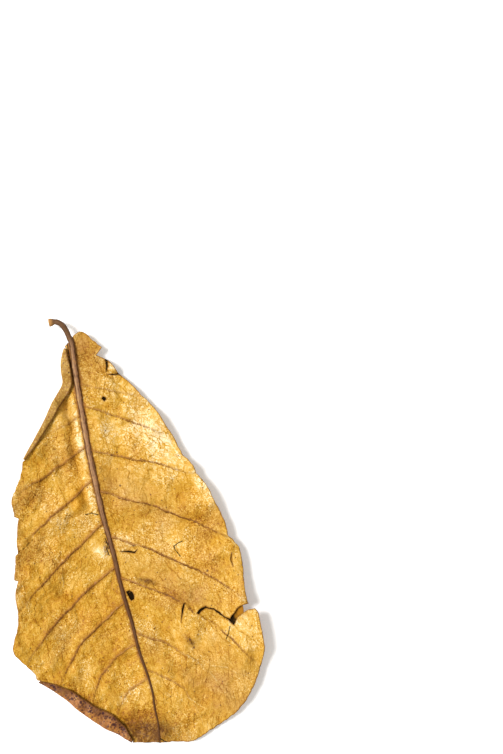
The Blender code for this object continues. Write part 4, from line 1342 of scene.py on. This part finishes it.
class LEAF_OT_shadow_backing(bpy.types.Operator):
    """Make the dark backing sheet of painted shadow under the tear, the holes and the cracks"""

    bl_idname = "leaf.tissue"
    # The label stands for the dark backing sheet of painted shadow.
    bl_label = "Torn tissue"

    def execute(self, context):
        tissue = build_shadow_backing(context.scene.leaf_sizes)
        tissue.data.materials.append(shadow_backing_finish(context.scene.leaf_colours))
        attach(tissue, "root")
        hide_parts("leaf")
        return {"FINISHED"}


class LEAF_OT_midrib(bpy.types.Operator):
    """Make the midrib and the stalk"""

    bl_idname = "leaf.midrib"
    bl_label = "Midrib and stalk"

    def execute(self, context):
        midrib = build_midrib(context.scene.leaf_sizes)
        midrib.data.materials.append(rib_finish(context.scene.leaf_colours))
        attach(midrib, "root")
        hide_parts("leaf")
        return {"FINISHED"}


class LEAF_OT_stage(bpy.types.Operator):
    """Make the pale floor, the light and the camera that looks straight down"""

    bl_idname = "leaf.stage"
    bl_label = "Stage"

    def execute(self, context):
        scene = context.scene
        settings = scene.leaf_stage
        build_floor(settings)
        build_light(scene, settings)
        build_camera(scene)
        return {"FINISHED"}


def build_floor(settings):
    """A plain pale floor, just under the leaf."""
    floor = bmesh.new()
    bmesh.ops.create_grid(floor, x_segments=1, y_segments=1, size=FLOOR_REACH)
    piece = finished_object("floor", floor)
    finish = Finish("pale_floor")
    finish.set(Base_Color=opaque(settings.floor), Roughness=0.9, Specular_IOR_Level=0.0)
    finish.set(Emission_Color=opaque(settings.floor), Emission_Strength=settings.glow)
    piece.data.materials.append(finish.material)
    piece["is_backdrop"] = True


def build_light(scene, settings):
    """A soft key light from the upper left of the picture, and an even fill."""
    sun = bpy.data.lights.new("key", "SUN")
    sun.energy = settings.key
    sun.angle = settings.key_angle
    key = bpy.data.objects.new("key", sun)
    key.rotation_euler = Vector(KEY_FROM).to_track_quat("Z", "Y").to_euler()
    scene.collection.objects.link(key)
    world = bpy.data.worlds.new("fill")
    world.use_nodes = True
    background = world.node_tree.nodes["Background"]
    background.inputs["Color"].default_value = opaque(settings.fill_colour)
    background.inputs["Strength"].default_value = settings.fill
    scene.world = world
    scene.view_settings.view_transform = "Standard"


def build_camera(scene):
    """A camera that looks straight down, turned as the photograph is."""
    lens = bpy.data.cameras.new("camera")
    lens.lens = LENS
    lens.sensor_width = SENSOR
    camera = bpy.data.objects.new("camera", lens)
    distance = FRAME_HEIGHT * LENS / SENSOR
    camera.location = plan_to_frame(*PHOTO_CENTRE, LOOK_HEIGHT + distance)
    camera.rotation_euler = (0.0, 0.0, math.radians(PHOTO_TURN))
    scene.collection.objects.link(camera)
    scene.camera = camera


class LEAF_PT_panel(bpy.types.Panel):
    """The leaf's steps and settings"""

    bl_label = "Leaf"
    bl_idname = "LEAF_PT_panel"
    bl_space_type = "VIEW_3D"
    bl_region_type = "UI"
    bl_category = "Leaf"

    def draw(self, context):
        for operator in OPERATORS:
            self.layout.operator(operator.bl_idname)
        for name, group in SETTINGS.items():
            box = self.layout.box()
            for setting in group.__annotations__:
                box.prop(getattr(context.scene, name), setting)


OPERATORS = (LEAF_OT_blade, LEAF_OT_shadow_backing, LEAF_OT_midrib, LEAF_OT_stage)
SETTINGS = {"leaf_sizes": LeafSizes, "leaf_colours": LeafColours, "leaf_stage": StageSettings}


def register():
    for group in SETTINGS.values():
        bpy.utils.register_class(group)
    for name, group in SETTINGS.items():
        setattr(bpy.types.Scene, name, PointerProperty(type=group))
    for operator in OPERATORS:
        bpy.utils.register_class(operator)
    bpy.utils.register_class(LEAF_PT_panel)


def unregister():
    bpy.utils.unregister_class(LEAF_PT_panel)
    for operator in reversed(OPERATORS):
        bpy.utils.unregister_class(operator)
    for name, group in SETTINGS.items():
        delattr(bpy.types.Scene, name)
        bpy.utils.unregister_class(group)


def main():
    register()
    bpy.ops.leaf.blade()
    bpy.ops.leaf.tissue()
    bpy.ops.leaf.midrib()
    bpy.ops.leaf.stage()
    boxes = {"cad": CAD_BOX, "visual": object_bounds()}
    {name: [list(corner) for corner in box] for name, box in boxes.items()}


if __name__ == "__main__":
    main()
